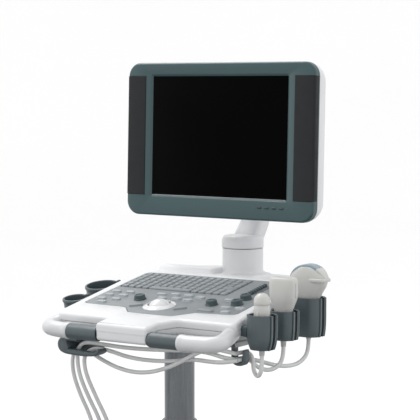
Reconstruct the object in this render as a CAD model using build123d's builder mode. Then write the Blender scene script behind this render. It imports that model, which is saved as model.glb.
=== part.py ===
"""Ultrasound machine: a tilted console on a lifting column, on a wheeled cart."""

from math import cos, radians, sin, sqrt, tan
import os

from build123d import *

os.makedirs("parts", exist_ok=True)

# --- Driving dimensions, in millimetres and degrees --------------------------------------
# Floor at z = 0, column axis at x = y = 0, the user stands on the -Y side.

WALL = 3.0                      # shell thickness of every moulded cover
GAP = 0.3                       # clearance between parts that only pass each other
RUNNING = 0.05                  # radial clearance of a shaft in its bore

# Base and casters
BASE_HALF_X, BASE_HALF_Y = 290.0, 302.0
LEG_TIP_RADIUS = 28.0
LEG_ROOT_RADIUS = 60.0
LEG_BOTTOM, LEG_HEIGHT = 112.0, 38.0
BASE_TOP = LEG_BOTTOM + LEG_HEIGHT
HUB_FRONT_Y, HUB_REAR_Y = -90.0, 296.0
HUB_WIDTH = 276.0
WHEEL_RADIUS, TYRE_WIDTH = 50.0, 18.0
CASTER_TRAIL = 30.0
WEB_THICKNESS = 14.0
STEM_RADIUS, STEM_LENGTH = 6.0, 26.0
AXLE_RADIUS = 5.0
CASTER_X = BASE_HALF_X - LEG_TIP_RADIUS
FRONT_CASTER_Y = -(BASE_HALF_Y - LEG_TIP_RADIUS)
REAR_CASTER_Y = 222.0
CASTERS = {
    "front_left": (-CASTER_X, FRONT_CASTER_Y),
    "front_right": (CASTER_X, FRONT_CASTER_Y),
    "rear_left": (-CASTER_X, REAR_CASTER_Y),
    "rear_right": (CASTER_X, REAR_CASTER_Y),
}
BRAKED = ("front_left", "front_right")

# Cabinet
CABINET_WIDTH = 280.0
CABINET_FRONT_Y, CABINET_REAR_Y = 52.0, 296.0
CABINET_TOP = 555.0
PORT_X = (-125.0, -90.0, -55.0)
PORT_WIDTH, PORT_HEIGHT = 24.0, 60.0
PORT_Z = 340.0
FAN_Z, FAN_RADIUS = 470.0, 38.0

# Column
OUTER_RADIUS, COLLAR_RADIUS, INNER_RADIUS = 38.0, 33.0, 28.0
OUTER_TOP, COLLAR_TOP = 600.0, 624.0
INNER_BOTTOM = 300.0
HEAD_TOP = 792.0

# Console: the deck rises to the rear
DECK_SLOPE = 9.5
DECK_Y, DECK_Z = -64.0, 844.0
REAR_DECK_Z = 877.5
SEAM_DEPTH = 15.0
NOSE_HALF_WIDTH = 55.0
HANDLE_Y, HANDLE_Z, HANDLE_RADIUS = -175.0, 802.0, 14.0
HOLDER_X = 235.0
CUP_X = -235.0

# Trackball
BALL_RADIUS, BALL_DEPTH = 23.0, 10.5
RING_RADIUS = 29.5

# Turret and monitor
TURRET_Y, TURRET_RADIUS = 218.0, 40.0
TURRET_SEAM, CAP_TOP = 923.0, 951.0
TILT_Y, TILT_Z = 240.0, 1066.0
SCREEN_Y, SCREEN_Z, SCREEN_TILT = 130.5, 1145.0, 1.8
SCREEN_WIDTH, SCREEN_HEIGHT = 304.1, 228.1
BEZEL_WIDTH, BEZEL_HEIGHT, BEZEL_DROP = 424.6, 297.0, -7.0

CABLE = 7.5                     # diameter of a probe cable


def deck_z(y):
    """Height of the sloping deck at a distance y from the column."""
    return DECK_Z + (y - DECK_Y) * tan(radians(DECK_SLOPE))


def on_deck(u, v, height=0.0):
    """A plane parallel to the deck, at u across and v up the slope."""
    c, s = cos(radians(DECK_SLOPE)), sin(radians(DECK_SLOPE))
    origin = (u, DECK_Y + v * c - height * s, DECK_Z + v * s + height * c)
    return Plane(origin=origin, x_dir=(1, 0, 0), z_dir=(0, -s, c))


def on_screen(u=0.0, v=0.0, height=0.0):
    """A plane parallel to the screen, facing the user."""
    c, s = cos(radians(SCREEN_TILT)), sin(radians(SCREEN_TILT))
    origin = (u, SCREEN_Y + v * s - height * c, SCREEN_Z + v * c + height * s)
    return Plane(origin=origin, x_dir=(1, 0, 0), z_dir=(0, -c, s))


# --- Base frame --------------------------------------------------------------------------

with BuildPart() as base_frame:
    with BuildSketch(Plane.XY.offset(LEG_BOTTOM)):
        with Locations((0, (HUB_FRONT_Y + HUB_REAR_Y) / 2)):
            RectangleRounded(HUB_WIDTH, HUB_REAR_Y - HUB_FRONT_Y, 40)
    extrude(amount=LEG_HEIGHT)
    for leg_x, leg_y in CASTERS.values():
        with BuildSketch(Plane.XY.offset(LEG_BOTTOM)):
            with Locations((leg_x, leg_y)):
                Circle(LEG_TIP_RADIUS)
            with Locations((leg_x * 0.28, leg_y * 0.3 + 20)):
                Circle(LEG_ROOT_RADIUS)
            make_hull()
        extrude(amount=LEG_HEIGHT)
    chamfer(base_frame.edges().group_by(Axis.Z)[-1], 6)
    for leg_x, leg_y in CASTERS.values():
        with Locations((leg_x, leg_y, LEG_BOTTOM)):
            Cylinder(STEM_RADIUS + RUNNING, STEM_LENGTH + 2, mode=Mode.SUBTRACT,
                     align=(Align.CENTER, Align.CENTER, Align.MIN))
base_frame.part.label = "base_frame"
export_step(base_frame.part, "parts/base_frame.step")


# --- Casters -----------------------------------------------------------------------------

HOOD_INNER, HOOD_OUTER = WHEEL_RADIUS + 4, WHEEL_RADIUS + 7
HOOD_WIDTH = WEB_THICKNESS + 2 * TYRE_WIDTH + 6
PEDAL_REACH = HOOD_OUTER + 8.0
PEDAL_PIN_RADIUS = 2.5
PEDAL_Z = 66.0
PEDAL_WIDTH, PEDAL_LENGTH = 26.0, 26.0


def make_fork(x, y, braked):
    """The swivelling caster body: stem, web between the wheels, hood and axle."""
    axle_y = y + CASTER_TRAIL
    with BuildPart() as fork:
        with Locations((x, y, LEG_BOTTOM + STEM_LENGTH)):
            Cylinder(STEM_RADIUS, STEM_LENGTH + 5, align=(Align.CENTER, Align.CENTER, Align.MAX))
        with Locations((x, y, LEG_BOTTOM - GAP)):
            Cylinder(20, 10, align=(Align.CENTER, Align.CENTER, Align.MAX))
        with BuildSketch(Plane.YZ.offset(x)):
            with Locations((y, LEG_BOTTOM - 8)):
                Rectangle(36, 12)
            with Locations((axle_y, WHEEL_RADIUS)):
                Circle(15)
            make_hull()
        extrude(amount=WEB_THICKNESS / 2, both=True)
        with BuildSketch(Plane.YZ.offset(x)):
            with Locations((axle_y, WHEEL_RADIUS)):
                Circle(HOOD_OUTER)
                Circle(HOOD_INNER, mode=Mode.SUBTRACT)
            with Locations((axle_y, WHEEL_RADIUS + 10)):
                Rectangle(3 * HOOD_OUTER, 2 * HOOD_OUTER, mode=Mode.SUBTRACT,
                          align=(Align.CENTER, Align.MAX))
        extrude(amount=HOOD_WIDTH / 2, both=True)
        with Locations(Plane(origin=(x, axle_y, WHEEL_RADIUS), z_dir=(1, 0, 0))):
            Cylinder(AXLE_RADIUS, HOOD_WIDTH - 4)
        if braked:
            for side in (-1, 1):
                with BuildSketch(Plane.YZ.offset(x + side * (PEDAL_WIDTH / 2 + 3))):
                    with Locations((axle_y + PEDAL_REACH, PEDAL_Z)):
                        Circle(5)
                    with Locations((axle_y + HOOD_OUTER - 3, PEDAL_Z)):
                        Rectangle(4, 12)
                    make_hull()
                extrude(amount=2, both=True)
            with Locations(Plane(origin=(x, axle_y + PEDAL_REACH, PEDAL_Z), z_dir=(1, 0, 0))):
                Cylinder(PEDAL_PIN_RADIUS, PEDAL_WIDTH + 8)
    return fork.part


def make_wheels(x, y):
    """The twin wheels of a caster, which turn together on the axle."""
    with BuildPart() as wheels:
        for side in (-1, 1):
            start = x + side * (WEB_THICKNESS / 2 + 1)
            with BuildSketch(Plane.YZ.offset(start)):
                with Locations((y + CASTER_TRAIL, WHEEL_RADIUS)):
                    Circle(WHEEL_RADIUS)
                    Circle(AXLE_RADIUS + RUNNING, mode=Mode.SUBTRACT)
            extrude(amount=side * TYRE_WIDTH)
        chamfer(wheels.edges().filter_by(GeomType.CIRCLE).filter_by(
            lambda edge: edge.radius > AXLE_RADIUS + 1), 3)
    return wheels.part


def make_pedal(x, y):
    """The foot pedal of a braked caster, hinged at the rear of the hood."""
    pin_y = y + CASTER_TRAIL + PEDAL_REACH
    with BuildPart() as pedal:
        with BuildSketch(Plane.YZ.offset(x)):
            with Locations((pin_y, PEDAL_Z)):
                Circle(5)
            with Locations((pin_y + PEDAL_LENGTH, PEDAL_Z + 6)):
                Circle(2.5)
            make_hull()
            with Locations((pin_y, PEDAL_Z)):
                Circle(PEDAL_PIN_RADIUS + RUNNING, mode=Mode.SUBTRACT)
        extrude(amount=PEDAL_WIDTH / 2, both=True)
    return pedal.part


for place, (caster_x, caster_y) in CASTERS.items():
    fork_part = make_fork(caster_x, caster_y, place in BRAKED)
    fork_part.label = f"caster_fork_{place}"
    export_step(fork_part, f"parts/caster_fork_{place}.step")
    wheels_part = make_wheels(caster_x, caster_y)
    wheels_part.label = f"caster_wheels_{place}"
    export_step(wheels_part, f"parts/caster_wheels_{place}.step")
    if place in BRAKED:
        pedal_part = make_pedal(caster_x, caster_y)
        pedal_part.label = f"brake_pedal_{place}"
        export_step(pedal_part, f"parts/brake_pedal_{place}.step")


# --- Cabinet -----------------------------------------------------------------------------

CABINET_MID_Y = (CABINET_FRONT_Y + CABINET_REAR_Y) / 2
CABINET_DEPTH = CABINET_REAR_Y - CABINET_FRONT_Y
REAR_PANEL_THICKNESS = 4.0
INLET_X, SWITCH_X, POWER_Z = -60.0, -15.0, 200.0

with BuildPart() as cabinet_shell:
    with BuildSketch(Plane.XY.offset(BASE_TOP)):
        with Locations((0, CABINET_MID_Y)):
            RectangleRounded(CABINET_WIDTH, CABINET_DEPTH, 24)
    extrude(amount=CABINET_TOP - BASE_TOP)
    fillet(cabinet_shell.edges().group_by(Axis.Z)[-1], 9)
    with Locations((0, CABINET_FRONT_Y + WALL, (BASE_TOP + CABINET_TOP) / 2)):
        Box(CABINET_WIDTH - 52, CABINET_DEPTH + WALL, CABINET_TOP - BASE_TOP - 2 * WALL,
            align=(Align.CENTER, Align.MIN, Align.CENTER), mode=Mode.SUBTRACT)
    with Locations((0, CABINET_MID_Y, (BASE_TOP + CABINET_TOP) / 2)):
        Box(CABINET_WIDTH - 2 * WALL, CABINET_DEPTH - 52, CABINET_TOP - BASE_TOP - 20,
            mode=Mode.SUBTRACT)
    for port_x in PORT_X:
        with Locations((port_x, CABINET_FRONT_Y, PORT_Z)):
            Box(PORT_WIDTH, 60, PORT_HEIGHT, mode=Mode.SUBTRACT)
cabinet_shell.part.label = "cabinet_shell"
export_step(cabinet_shell.part, "parts/cabinet_shell.step")

with BuildPart() as rear_panel:
    with BuildSketch(Plane.XZ.offset(-CABINET_REAR_Y)):
        with Locations((0, (BASE_TOP + CABINET_TOP) / 2)):
            Rectangle(CABINET_WIDTH - 52 - 2 * GAP, CABINET_TOP - BASE_TOP - 2 * WALL - 2 * GAP)
        with Locations((0, FAN_Z)):
            Circle(FAN_RADIUS + 3, mode=Mode.SUBTRACT)
        with Locations((SWITCH_X, POWER_Z)):
            Rectangle(20, 28, mode=Mode.SUBTRACT)
        for row in range(6):
            with Locations((0, 270 + 16 * row)):
                SlotOverall(150, 6, mode=Mode.SUBTRACT)
    extrude(amount=REAR_PANEL_THICKNESS)
    with BuildSketch(Plane.XZ.offset(-(CABINET_REAR_Y - REAR_PANEL_THICKNESS))):
        with Locations((0, FAN_Z)):
            Rectangle(92, 92)
            Circle(FAN_RADIUS + 3, mode=Mode.SUBTRACT)
    extrude(amount=22)
    with BuildSketch(Plane.XZ.offset(-(CABINET_REAR_Y - REAR_PANEL_THICKNESS - 18))):
        with Locations((0, FAN_Z)):
            Circle(16)
            Rectangle(6, 2 * FAN_RADIUS + 12)
            Rectangle(2 * FAN_RADIUS + 12, 6)
    extrude(amount=4)
    with Locations(Plane(origin=(0, CABINET_REAR_Y - 24, FAN_Z), z_dir=(0, 1, 0))):
        Cylinder(3, 20, align=(Align.CENTER, Align.CENTER, Align.MIN))
    with Locations((INLET_X, CABINET_REAR_Y - REAR_PANEL_THICKNESS, POWER_Z)):
        Box(36, 26, 30, align=(Align.CENTER, Align.MAX, Align.CENTER))
    with Locations((INLET_X, CABINET_REAR_Y, POWER_Z)):
        Box(27, 18, 19, align=(Align.CENTER, Align.MAX, Align.CENTER), mode=Mode.SUBTRACT)
    for pin_x in (-8, 0, 8):
        with Locations((INLET_X + pin_x, CABINET_REAR_Y - 19, POWER_Z)):
            Box(2, 13, 4, align=(Align.CENTER, Align.MIN, Align.CENTER))
    for side in (-1, 1):
        with Locations((SWITCH_X + side * 12, CABINET_REAR_Y - REAR_PANEL_THICKNESS, POWER_Z)):
            Box(3, 12, 28, align=(Align.CENTER, Align.MAX, Align.CENTER))
    with Locations(Plane(origin=(SWITCH_X, CABINET_REAR_Y - 9, POWER_Z), z_dir=(1, 0, 0))):
        Cylinder(1.5, 24)
rear_panel.part.label = "rear_panel"
export_step(rear_panel.part, "parts/rear_panel.step")

with BuildPart() as fan_rotor:
    fan_plane = Plane(origin=(0, CABINET_REAR_Y - 19, FAN_Z), x_dir=(1, 0, 0), z_dir=(0, 1, 0))
    with BuildSketch(fan_plane):
        Circle(15)
    extrude(amount=14)
    for blade in range(7):
        turned = fan_plane.rotated((0, 0, blade * 360 / 7))
        blade_plane = Plane(origin=fan_plane.origin, x_dir=turned.x_dir, z_dir=(0, 1, 0))
        with BuildSketch(blade_plane.offset(2)):
            with BuildLine():
                Polyline((12, -5), (FAN_RADIUS, -12), (FAN_RADIUS, 2), (12, 7), close=True)
            make_face()
        extrude(amount=8)
    with BuildSketch(fan_plane.offset(-1)):
        Circle(FAN_RADIUS + 1)
    extrude(amount=20, mode=Mode.INTERSECT)
    with BuildSketch(fan_plane):
        Circle(3 + RUNNING)
    extrude(amount=15, mode=Mode.SUBTRACT)
fan_rotor.part.label = "fan_rotor"
export_step(fan_rotor.part, "parts/fan_rotor.step")

with BuildPart() as power_rocker:
    with BuildSketch(Plane.YZ.offset(SWITCH_X)):
        with BuildLine():
            Polyline((CABINET_REAR_Y - 13, POWER_Z - 7), (CABINET_REAR_Y - 13, POWER_Z + 7),
                     (CABINET_REAR_Y - 3, POWER_Z + 11), (CABINET_REAR_Y + 3, POWER_Z + 11),
                     (CABINET_REAR_Y, POWER_Z), (CABINET_REAR_Y + 0.5, POWER_Z - 12),
                     (CABINET_REAR_Y - 5, POWER_Z - 12), close=True)
        make_face()
        with Locations((CABINET_REAR_Y - 9, POWER_Z)):
            Circle(1.5 + RUNNING, mode=Mode.SUBTRACT)
    extrude(amount=9, both=True)
power_rocker.part.label = "power_rocker"
export_step(power_rocker.part, "parts/power_rocker.step")

BOARD_Z = 186.0
with BuildPart() as main_board:
    with Locations((0, 170, BOARD_Z)):
        Box(210, 150, 2)
    with GridLocations(120, 60, 2, 2):
        with Locations((0, 170, BOARD_Z + 1)):
            Box(34, 34, 5, align=(Align.CENTER, Align.CENTER, Align.MIN))
    with Locations((0, 170, BOARD_Z + 1)):
        Box(46, 46, 8, align=(Align.CENTER, Align.CENTER, Align.MIN))
    for fin in range(8):
        with Locations((-21 + 6 * fin, 170, BOARD_Z + 9)):
            Box(2, 44, 20, align=(Align.CENTER, Align.CENTER, Align.MIN))
    for post_x in (-95, 95):
        for post_y in (105, 235):
            with Locations((post_x, post_y, BASE_TOP + WALL)):
                Cylinder(4, BOARD_Z - BASE_TOP - WALL, align=(Align.CENTER, Align.CENTER, Align.MIN))
main_board.part.label = "main_board"
export_step(main_board.part, "parts/main_board.step")

with BuildPart() as power_supply:
    with Locations((20, 130, 260)):
        Box(150, 90, 60, align=(Align.CENTER, Align.CENTER, Align.MIN))
    for foot_x in (-50, 90):
        with Locations((foot_x, CABINET_FRONT_Y + WALL, 270)):
            Box(16, 31, 40, align=(Align.CENTER, Align.MIN, Align.MIN))
power_supply.part.label = "power_supply"
export_step(power_supply.part, "parts/power_supply.step")


# --- Probe connectors --------------------------------------------------------------------

CONNECTOR_FRONT_Y, RELIEF_Y = -22.0, -6.0
CONNECTOR_TOP, CONNECTOR_BOTTOM, RELIEF_BOTTOM = 380.0, 300.0, 262.0


def make_connector(x):
    """A probe plug: a narrow housing, its tongue in the port and a sleeve for the cable."""
    with BuildPart() as plug:
        with Locations((x, CABINET_FRONT_Y, PORT_Z)):
            Box(28, CABINET_FRONT_Y - CONNECTOR_FRONT_Y, CONNECTOR_TOP - CONNECTOR_BOTTOM,
                align=(Align.CENTER, Align.MAX, Align.CENTER))
        fillet(plug.edges().group_by(Axis.Y)[0], 6)
        with Locations((x, CABINET_FRONT_Y, PORT_Z)):
            Box(PORT_WIDTH - 2 * GAP, 20, PORT_HEIGHT - 2 * GAP,
                align=(Align.CENTER, Align.MIN, Align.CENTER))
        with BuildSketch(Plane(origin=(x, RELIEF_Y, RELIEF_BOTTOM))):
            Circle(CABLE / 2 + 0.8)
        with BuildSketch(Plane(origin=(x, RELIEF_Y, CONNECTOR_BOTTOM + 2))):
            Circle(8)
        loft()
    return plug.part


for number, port_x in enumerate(PORT_X, start=1):
    connector_part = make_connector(port_x)
    connector_part.label = f"probe_connector_{number}"
    export_step(connector_part, f"parts/probe_connector_{number}.step")


# --- Column ------------------------------------------------------------------------------

with BuildPart() as outer_column:
    with BuildSketch(Plane.XZ):
        with BuildLine():
            Polyline((INNER_RADIUS + 2, BASE_TOP + 8), (INNER_RADIUS + 2, OUTER_TOP),
                     (INNER_RADIUS + RUNNING, OUTER_TOP), (INNER_RADIUS + RUNNING, COLLAR_TOP),
                     (COLLAR_RADIUS - 1.5, COLLAR_TOP), (COLLAR_RADIUS, COLLAR_TOP - 1.5),
                     (COLLAR_RADIUS, OUTER_TOP + 2), (OUTER_RADIUS - 2, OUTER_TOP + 2),
                     (OUTER_RADIUS, OUTER_TOP), (OUTER_RADIUS, BASE_TOP + 10),
                     (50, BASE_TOP + 10), (50, BASE_TOP), (0, BASE_TOP), (0, BASE_TOP + 8),
                     close=True)
        make_face()
    revolve(axis=Axis.Z)
outer_column.part.label = "outer_column"
export_step(outer_column.part, "parts/outer_column.step")

with BuildPart() as inner_column:
    with BuildSketch(Plane.XY.offset(INNER_BOTTOM)):
        Circle(INNER_RADIUS)
        Circle(INNER_RADIUS - 4, mode=Mode.SUBTRACT)
    extrude(amount=HEAD_TOP - INNER_BOTTOM)
    with BuildSketch(Plane.XY.offset(HEAD_TOP - 8)):
        Circle(44)
    extrude(amount=8)
    chamfer(inner_column.edges().filter_by(GeomType.CIRCLE).filter_by(
        lambda edge: edge.radius > 43).group_by(Axis.Z)[0], 3)
inner_column.part.label = "inner_column"
export_step(inner_column.part, "parts/inner_column.step")


# --- Console shells ----------------------------------------------------------------------

CONSOLE_FRONT_Y, CONSOLE_REAR_Y = -150.0, 206.0
RIGHT_FRONT_Y = -126.0
CONSOLE_PLAN = ((-172, CONSOLE_FRONT_Y), (48, CONSOLE_FRONT_Y), (84, RIGHT_FRONT_Y),
                (203, RIGHT_FRONT_Y), (190, -40), (188, 140), (176, CONSOLE_REAR_Y - 10),
                (70, CONSOLE_REAR_Y), (-70, CONSOLE_REAR_Y), (-176, CONSOLE_REAR_Y - 10),
                (-188, 140))
FRONT_BOTTOM_Z, REAR_BOTTOM_Z = 804.0, 829.0
RIDGE_Y = DECK_Y + (REAR_DECK_Z - DECK_Z) / tan(radians(DECK_SLOPE))
NOSE_BOTTOM_Z, NOSE_FRONT_Y, NOSE_REAR_Y = HEAD_TOP, -180.0, 60.0


def console_block(inset):
    """The console's outer shape, or the same shape moved inwards by a wall thickness."""
    with BuildPart() as block:
        with BuildSketch(Plane.YZ):
            with BuildLine():
                Polyline((CONSOLE_FRONT_Y, FRONT_BOTTOM_Z),
                         (CONSOLE_REAR_Y + 45, REAR_BOTTOM_Z + 3),
                         (CONSOLE_REAR_Y + 45, REAR_DECK_Z), (RIDGE_Y, REAR_DECK_Z),
                         (CONSOLE_FRONT_Y, deck_z(CONSOLE_FRONT_Y)), close=True)
            make_face()
            if inset:
                offset(amount=-inset, kind=Kind.INTERSECTION)
        extrude(amount=200, both=True)
        with BuildSketch(Plane.XY.offset(FRONT_BOTTOM_Z - 10)):
            with BuildLine():
                Polyline(*CONSOLE_PLAN, close=True)
            corners = make_face()
            fillet(corners.vertices().filter_by(lambda v: v.Y < -100 or v.Y > 150)
                   .filter_by(lambda v: abs(v.X) > 100), 18)
            with Locations((0, TURRET_Y - 22)):
                Circle(64)
            if inset:
                offset(amount=-inset, kind=Kind.INTERSECTION)
        extrude(amount=100, mode=Mode.INTERSECT)
        with BuildSketch(Plane.YZ):
            with BuildLine():
                Polyline((NOSE_FRONT_Y, NOSE_BOTTOM_Z + 3), (NOSE_FRONT_Y + 4, NOSE_BOTTOM_Z),
                         (NOSE_REAR_Y, NOSE_BOTTOM_Z), (NOSE_REAR_Y, FRONT_BOTTOM_Z + 20),
                         (CONSOLE_FRONT_Y + 20, deck_z(CONSOLE_FRONT_Y + 20)),
                         (NOSE_FRONT_Y + 9, deck_z(NOSE_FRONT_Y + 9) - 1),
                         (NOSE_FRONT_Y + 2, deck_z(NOSE_FRONT_Y + 9) - 6),
                         (NOSE_FRONT_Y, deck_z(NOSE_FRONT_Y + 9) - 12), close=True)
            make_face()
            if inset:
                offset(amount=-inset, kind=Kind.INTERSECTION)
        extrude(amount=NOSE_HALF_WIDTH - inset, both=True)
    return block.part


console_outside = console_block(0)
console_inside = console_block(WALL)
seam_plane = on_deck(0, 0, -SEAM_DEPTH)

with BuildPart() as console_base:
    add(console_outside)
    split(bisect_by=seam_plane, keep=Keep.BOTTOM)
    add(console_inside, mode=Mode.SUBTRACT)
console_base.part.label = "console_base"
export_step(console_base.part, "parts/console_base.step")


# The grey panel: an asymmetric outline with a tongue round the trackball
PANEL_THICKNESS, PANEL_LIP = 6.0, 4.0
PANEL_OUTLINE = ((-162, 194), (168, 197), (172, -12), (92, -20), (60, -50), (-34, -50),
                 (-58, -24), (-158, -22))


with BuildSketch() as panel_outline:
    with BuildLine():
        Polyline(*PANEL_OUTLINE, close=True)
    make_face()
    fillet(panel_outline.vertices(), 11)
panel_face = panel_outline.sketch_local


with BuildPart() as console_deck:
    add(console_outside)
    split(bisect_by=seam_plane, keep=Keep.TOP)
    add(console_inside, mode=Mode.SUBTRACT)
    with BuildSketch(on_deck(0, 0, 20)):
        add(panel_face)
    extrude(amount=-(20 + WALL + 8), mode=Mode.SUBTRACT)
    with BuildSketch(Plane.XY.offset(REAR_DECK_Z)):
        with Locations((0, TURRET_Y)):
            Circle(TURRET_RADIUS)
    extrude(amount=TURRET_SEAM - REAR_DECK_Z)
    with BuildSketch(Plane.XY.offset(REAR_DECK_Z - WALL)):
        with Locations((0, TURRET_Y)):
            Circle(TURRET_RADIUS - WALL)
    extrude(amount=TURRET_SEAM - REAR_DECK_Z, mode=Mode.SUBTRACT)
    with Locations((0, TURRET_Y, TURRET_SEAM)):
        Cylinder(12 + RUNNING, 30, mode=Mode.SUBTRACT)
console_deck.part.label = "console_deck"
export_step(console_deck.part, "parts/console_deck.step")


# --- Control layout, in deck coordinates -------------------------------------------------

KEY_PITCH, KEY_SIZE = 16.0, 13.4
KEYBOARD_U, KEYBOARD_V = -36.0, 140.0
KEYBOARD_COLUMNS, KEYBOARD_ROWS = 15, 6
KEYBOARD_RECESS = 3.0
KEY_STEM, KEY_HEAD_LOW, KEY_HEAD_HIGH, KEY_STEM_LOW = 2.0, 1.6, 3.4, -9.0
OVAL_LENGTH, OVAL_WIDTH = 20.0, 9.5
LEFT_OVALS = ((-138, 9), (-138, 33), (-138, 57), (-107, 12), (-107, 35), (-107, 58), (-124, -10))
RIGHT_OVALS = ((-37, 62), (-22, 41), (-10, 68), (7, 45), (20, 67), (35, 41), (49, 62),
               (132, 19), (160, 22), (146, -4), (112, 62))
SET_KEYS = ((-44, -12, 35), (50, -8, 35))
FREEZE_U, FREEZE_V, FREEZE_LENGTH = 104.0, -6.0, 34.0
KNOBS = {"left": (-62, 26), "centre": (93, 32), "right_front": (139, 45), "right_rear": (136, 80)}
KNOB_RADIUS, KNOB_HEIGHT, KNOB_SHAFT = 10.3, 9.5, 3.0
SLIDER_U, SLIDER_V, SLIDER_PITCH, SLIDERS = 128.0, 108.0, 7.6, 8
SLIDER_SLOT = 30.0


def keyboard_rows():
    """Each keyboard row as (v, list of (u, cap width)), front row first."""
    rows = []
    first_u = KEYBOARD_U - KEY_PITCH * (KEYBOARD_COLUMNS - 1) / 2
    for index in range(KEYBOARD_ROWS):
        row_v = KEYBOARD_V + KEY_PITCH * (index - (KEYBOARD_ROWS - 1) / 2)
        keys = []
        column = 0
        while column < KEYBOARD_COLUMNS:
            span = 6 if index == 0 and column == 4 else 1
            span = 2 if index == 2 and column == 13 else span
            middle = first_u + KEY_PITCH * (column + (span - 1) / 2)
            keys.append((middle, KEY_SIZE + KEY_PITCH * (span - 1)))
            column += span
        rows.append((row_v, keys))
    return rows


def slot_rows():
    """The v of each slider's slot."""
    return [SLIDER_V + SLIDER_PITCH * index for index in range(SLIDERS)]


with BuildPart() as key_panel:
    with BuildSketch(on_deck(0, 0)):
        add(panel_face)
        offset(amount=-GAP)
    extrude(amount=-WALL)
    with BuildSketch(on_deck(0, 0, -WALL)):
        add(panel_face)
        offset(amount=PANEL_LIP)
    extrude(amount=-(PANEL_THICKNESS - WALL))
    with BuildSketch(on_deck(KEYBOARD_U, KEYBOARD_V)):
        RectangleRounded(KEY_PITCH * KEYBOARD_COLUMNS + 4, KEY_PITCH * KEYBOARD_ROWS + 4, 4)
    extrude(amount=-KEYBOARD_RECESS, mode=Mode.SUBTRACT)
    with BuildSketch(on_deck(0, 0)):
        for row_v, keys in keyboard_rows():
            with Locations(*[(key_u, row_v) for key_u, width in keys]):
                Circle(KEY_STEM + RUNNING)
        with Locations(*LEFT_OVALS, *RIGHT_OVALS, (FREEZE_U, FREEZE_V)):
            Circle(KEY_STEM + RUNNING)
        with Locations(*[(set_u, set_v) for set_u, set_v, turn in SET_KEYS]):
            Circle(KEY_STEM + RUNNING)
        with Locations(*KNOBS.values()):
            Circle(KNOB_SHAFT + RUNNING)
        with Locations((0, 0)):
            Circle(BALL_RADIUS + 3 + GAP)
        with Locations(*[(SLIDER_U, slot_v) for slot_v in slot_rows()]):
            Rectangle(SLIDER_SLOT, 2.4)
    extrude(amount=-2 * PANEL_THICKNESS, mode=Mode.SUBTRACT)
key_panel.part.label = "key_panel"
export_step(key_panel.part, "parts/key_panel.step")


# --- Trackball ---------------------------------------------------------------------------

def ball_gap_radius(height, gap):
    """Radius of a ring's inner edge that clears the ball by gap at a height over the deck."""
    return sqrt((BALL_RADIUS + gap) ** 2 - (height + BALL_DEPTH) ** 2)


RING_TOP = 2.6
CUP_DEPTH = 37.0
with BuildPart() as trackball_ring:
    with BuildSketch(Plane.XZ):
        with BuildLine():
            Polyline((RING_RADIUS, 0), (RING_RADIUS - 1.5, 1.3), (24, RING_TOP),
                     (ball_gap_radius(RING_TOP, 0.5), RING_TOP),
                     (15, -BALL_DEPTH), (0, -BALL_DEPTH), (0, -CUP_DEPTH), (20, -CUP_DEPTH),
                     (BALL_RADIUS + 3, -CUP_DEPTH + 8), (BALL_RADIUS + 3, 0), close=True)
        make_face()
    revolve(axis=Axis.Z)
    with Locations((0, 0, -BALL_DEPTH)):
        Sphere(BALL_RADIUS + 0.5, mode=Mode.SUBTRACT)
ring_part = on_deck(0, 0).location * trackball_ring.part
ring_part.label = "trackball_ring"
export_step(ring_part, "parts/trackball_ring.step")

with BuildPart() as trackball:
    with Locations(on_deck(0, 0, -BALL_DEPTH)):
        Sphere(BALL_RADIUS)
trackball.part.label = "trackball"
export_step(trackball.part, "parts/trackball.step")


# --- Keys, knobs and sliders -------------------------------------------------------------

def key_caps(stems, caps, low, high, rounding):
    """Keys that move together: a cap each, and a stem through the panel."""
    with BuildPart() as keys:
        for cap_u, cap_v, length, width, turn, oval in caps:
            with BuildSketch(on_deck(cap_u, cap_v, low)):
                if oval:
                    SlotOverall(length, width, rotation=turn)
                else:
                    RectangleRounded(length, width, 1.6)
            extrude(amount=high - low, taper=14)
        with BuildSketch(on_deck(0, 0, KEY_STEM_LOW)):
            with Locations(*stems):
                Circle(KEY_STEM)
        extrude(amount=low + rounding - KEY_STEM_LOW)
    return keys.part


board_caps = [(key_u, row_v, width, KEY_SIZE, 0, False)
              for row_v, keys in keyboard_rows() for key_u, width in keys]
board_stems = [(cap[0], cap[1]) for cap in board_caps]
keyboard_keys = key_caps(board_stems, board_caps, KEY_HEAD_LOW - KEYBOARD_RECESS, 1.6, 0.5)
keyboard_keys.label = "keyboard_keys"
export_step(keyboard_keys, "parts/keyboard_keys.step")

for name, places in (("left_keys", LEFT_OVALS), ("right_keys", RIGHT_OVALS)):
    oval_caps = [(u, v, OVAL_LENGTH, OVAL_WIDTH, 0, True) for u, v in places]
    oval_keys = key_caps(places, oval_caps, KEY_HEAD_LOW, KEY_HEAD_HIGH, 0.5)
    oval_keys.label = name
    export_step(oval_keys, f"parts/{name}.step")

set_caps = [(u, v, 27, 8.5, turn, True) for u, v, turn in SET_KEYS]
set_keys = key_caps([(u, v) for u, v, turn in SET_KEYS], set_caps, KEY_HEAD_LOW, KEY_HEAD_HIGH, 0.5)
set_keys.label = "set_keys"
export_step(set_keys, "parts/set_keys.step")

freeze_caps = [(FREEZE_U, FREEZE_V, FREEZE_LENGTH, 11, 0, True)]
freeze_key = key_caps([(FREEZE_U, FREEZE_V)], freeze_caps, KEY_HEAD_LOW, KEY_HEAD_HIGH, 0.5)
freeze_key.label = "freeze_key"
export_step(freeze_key, "parts/freeze_key.step")

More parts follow.
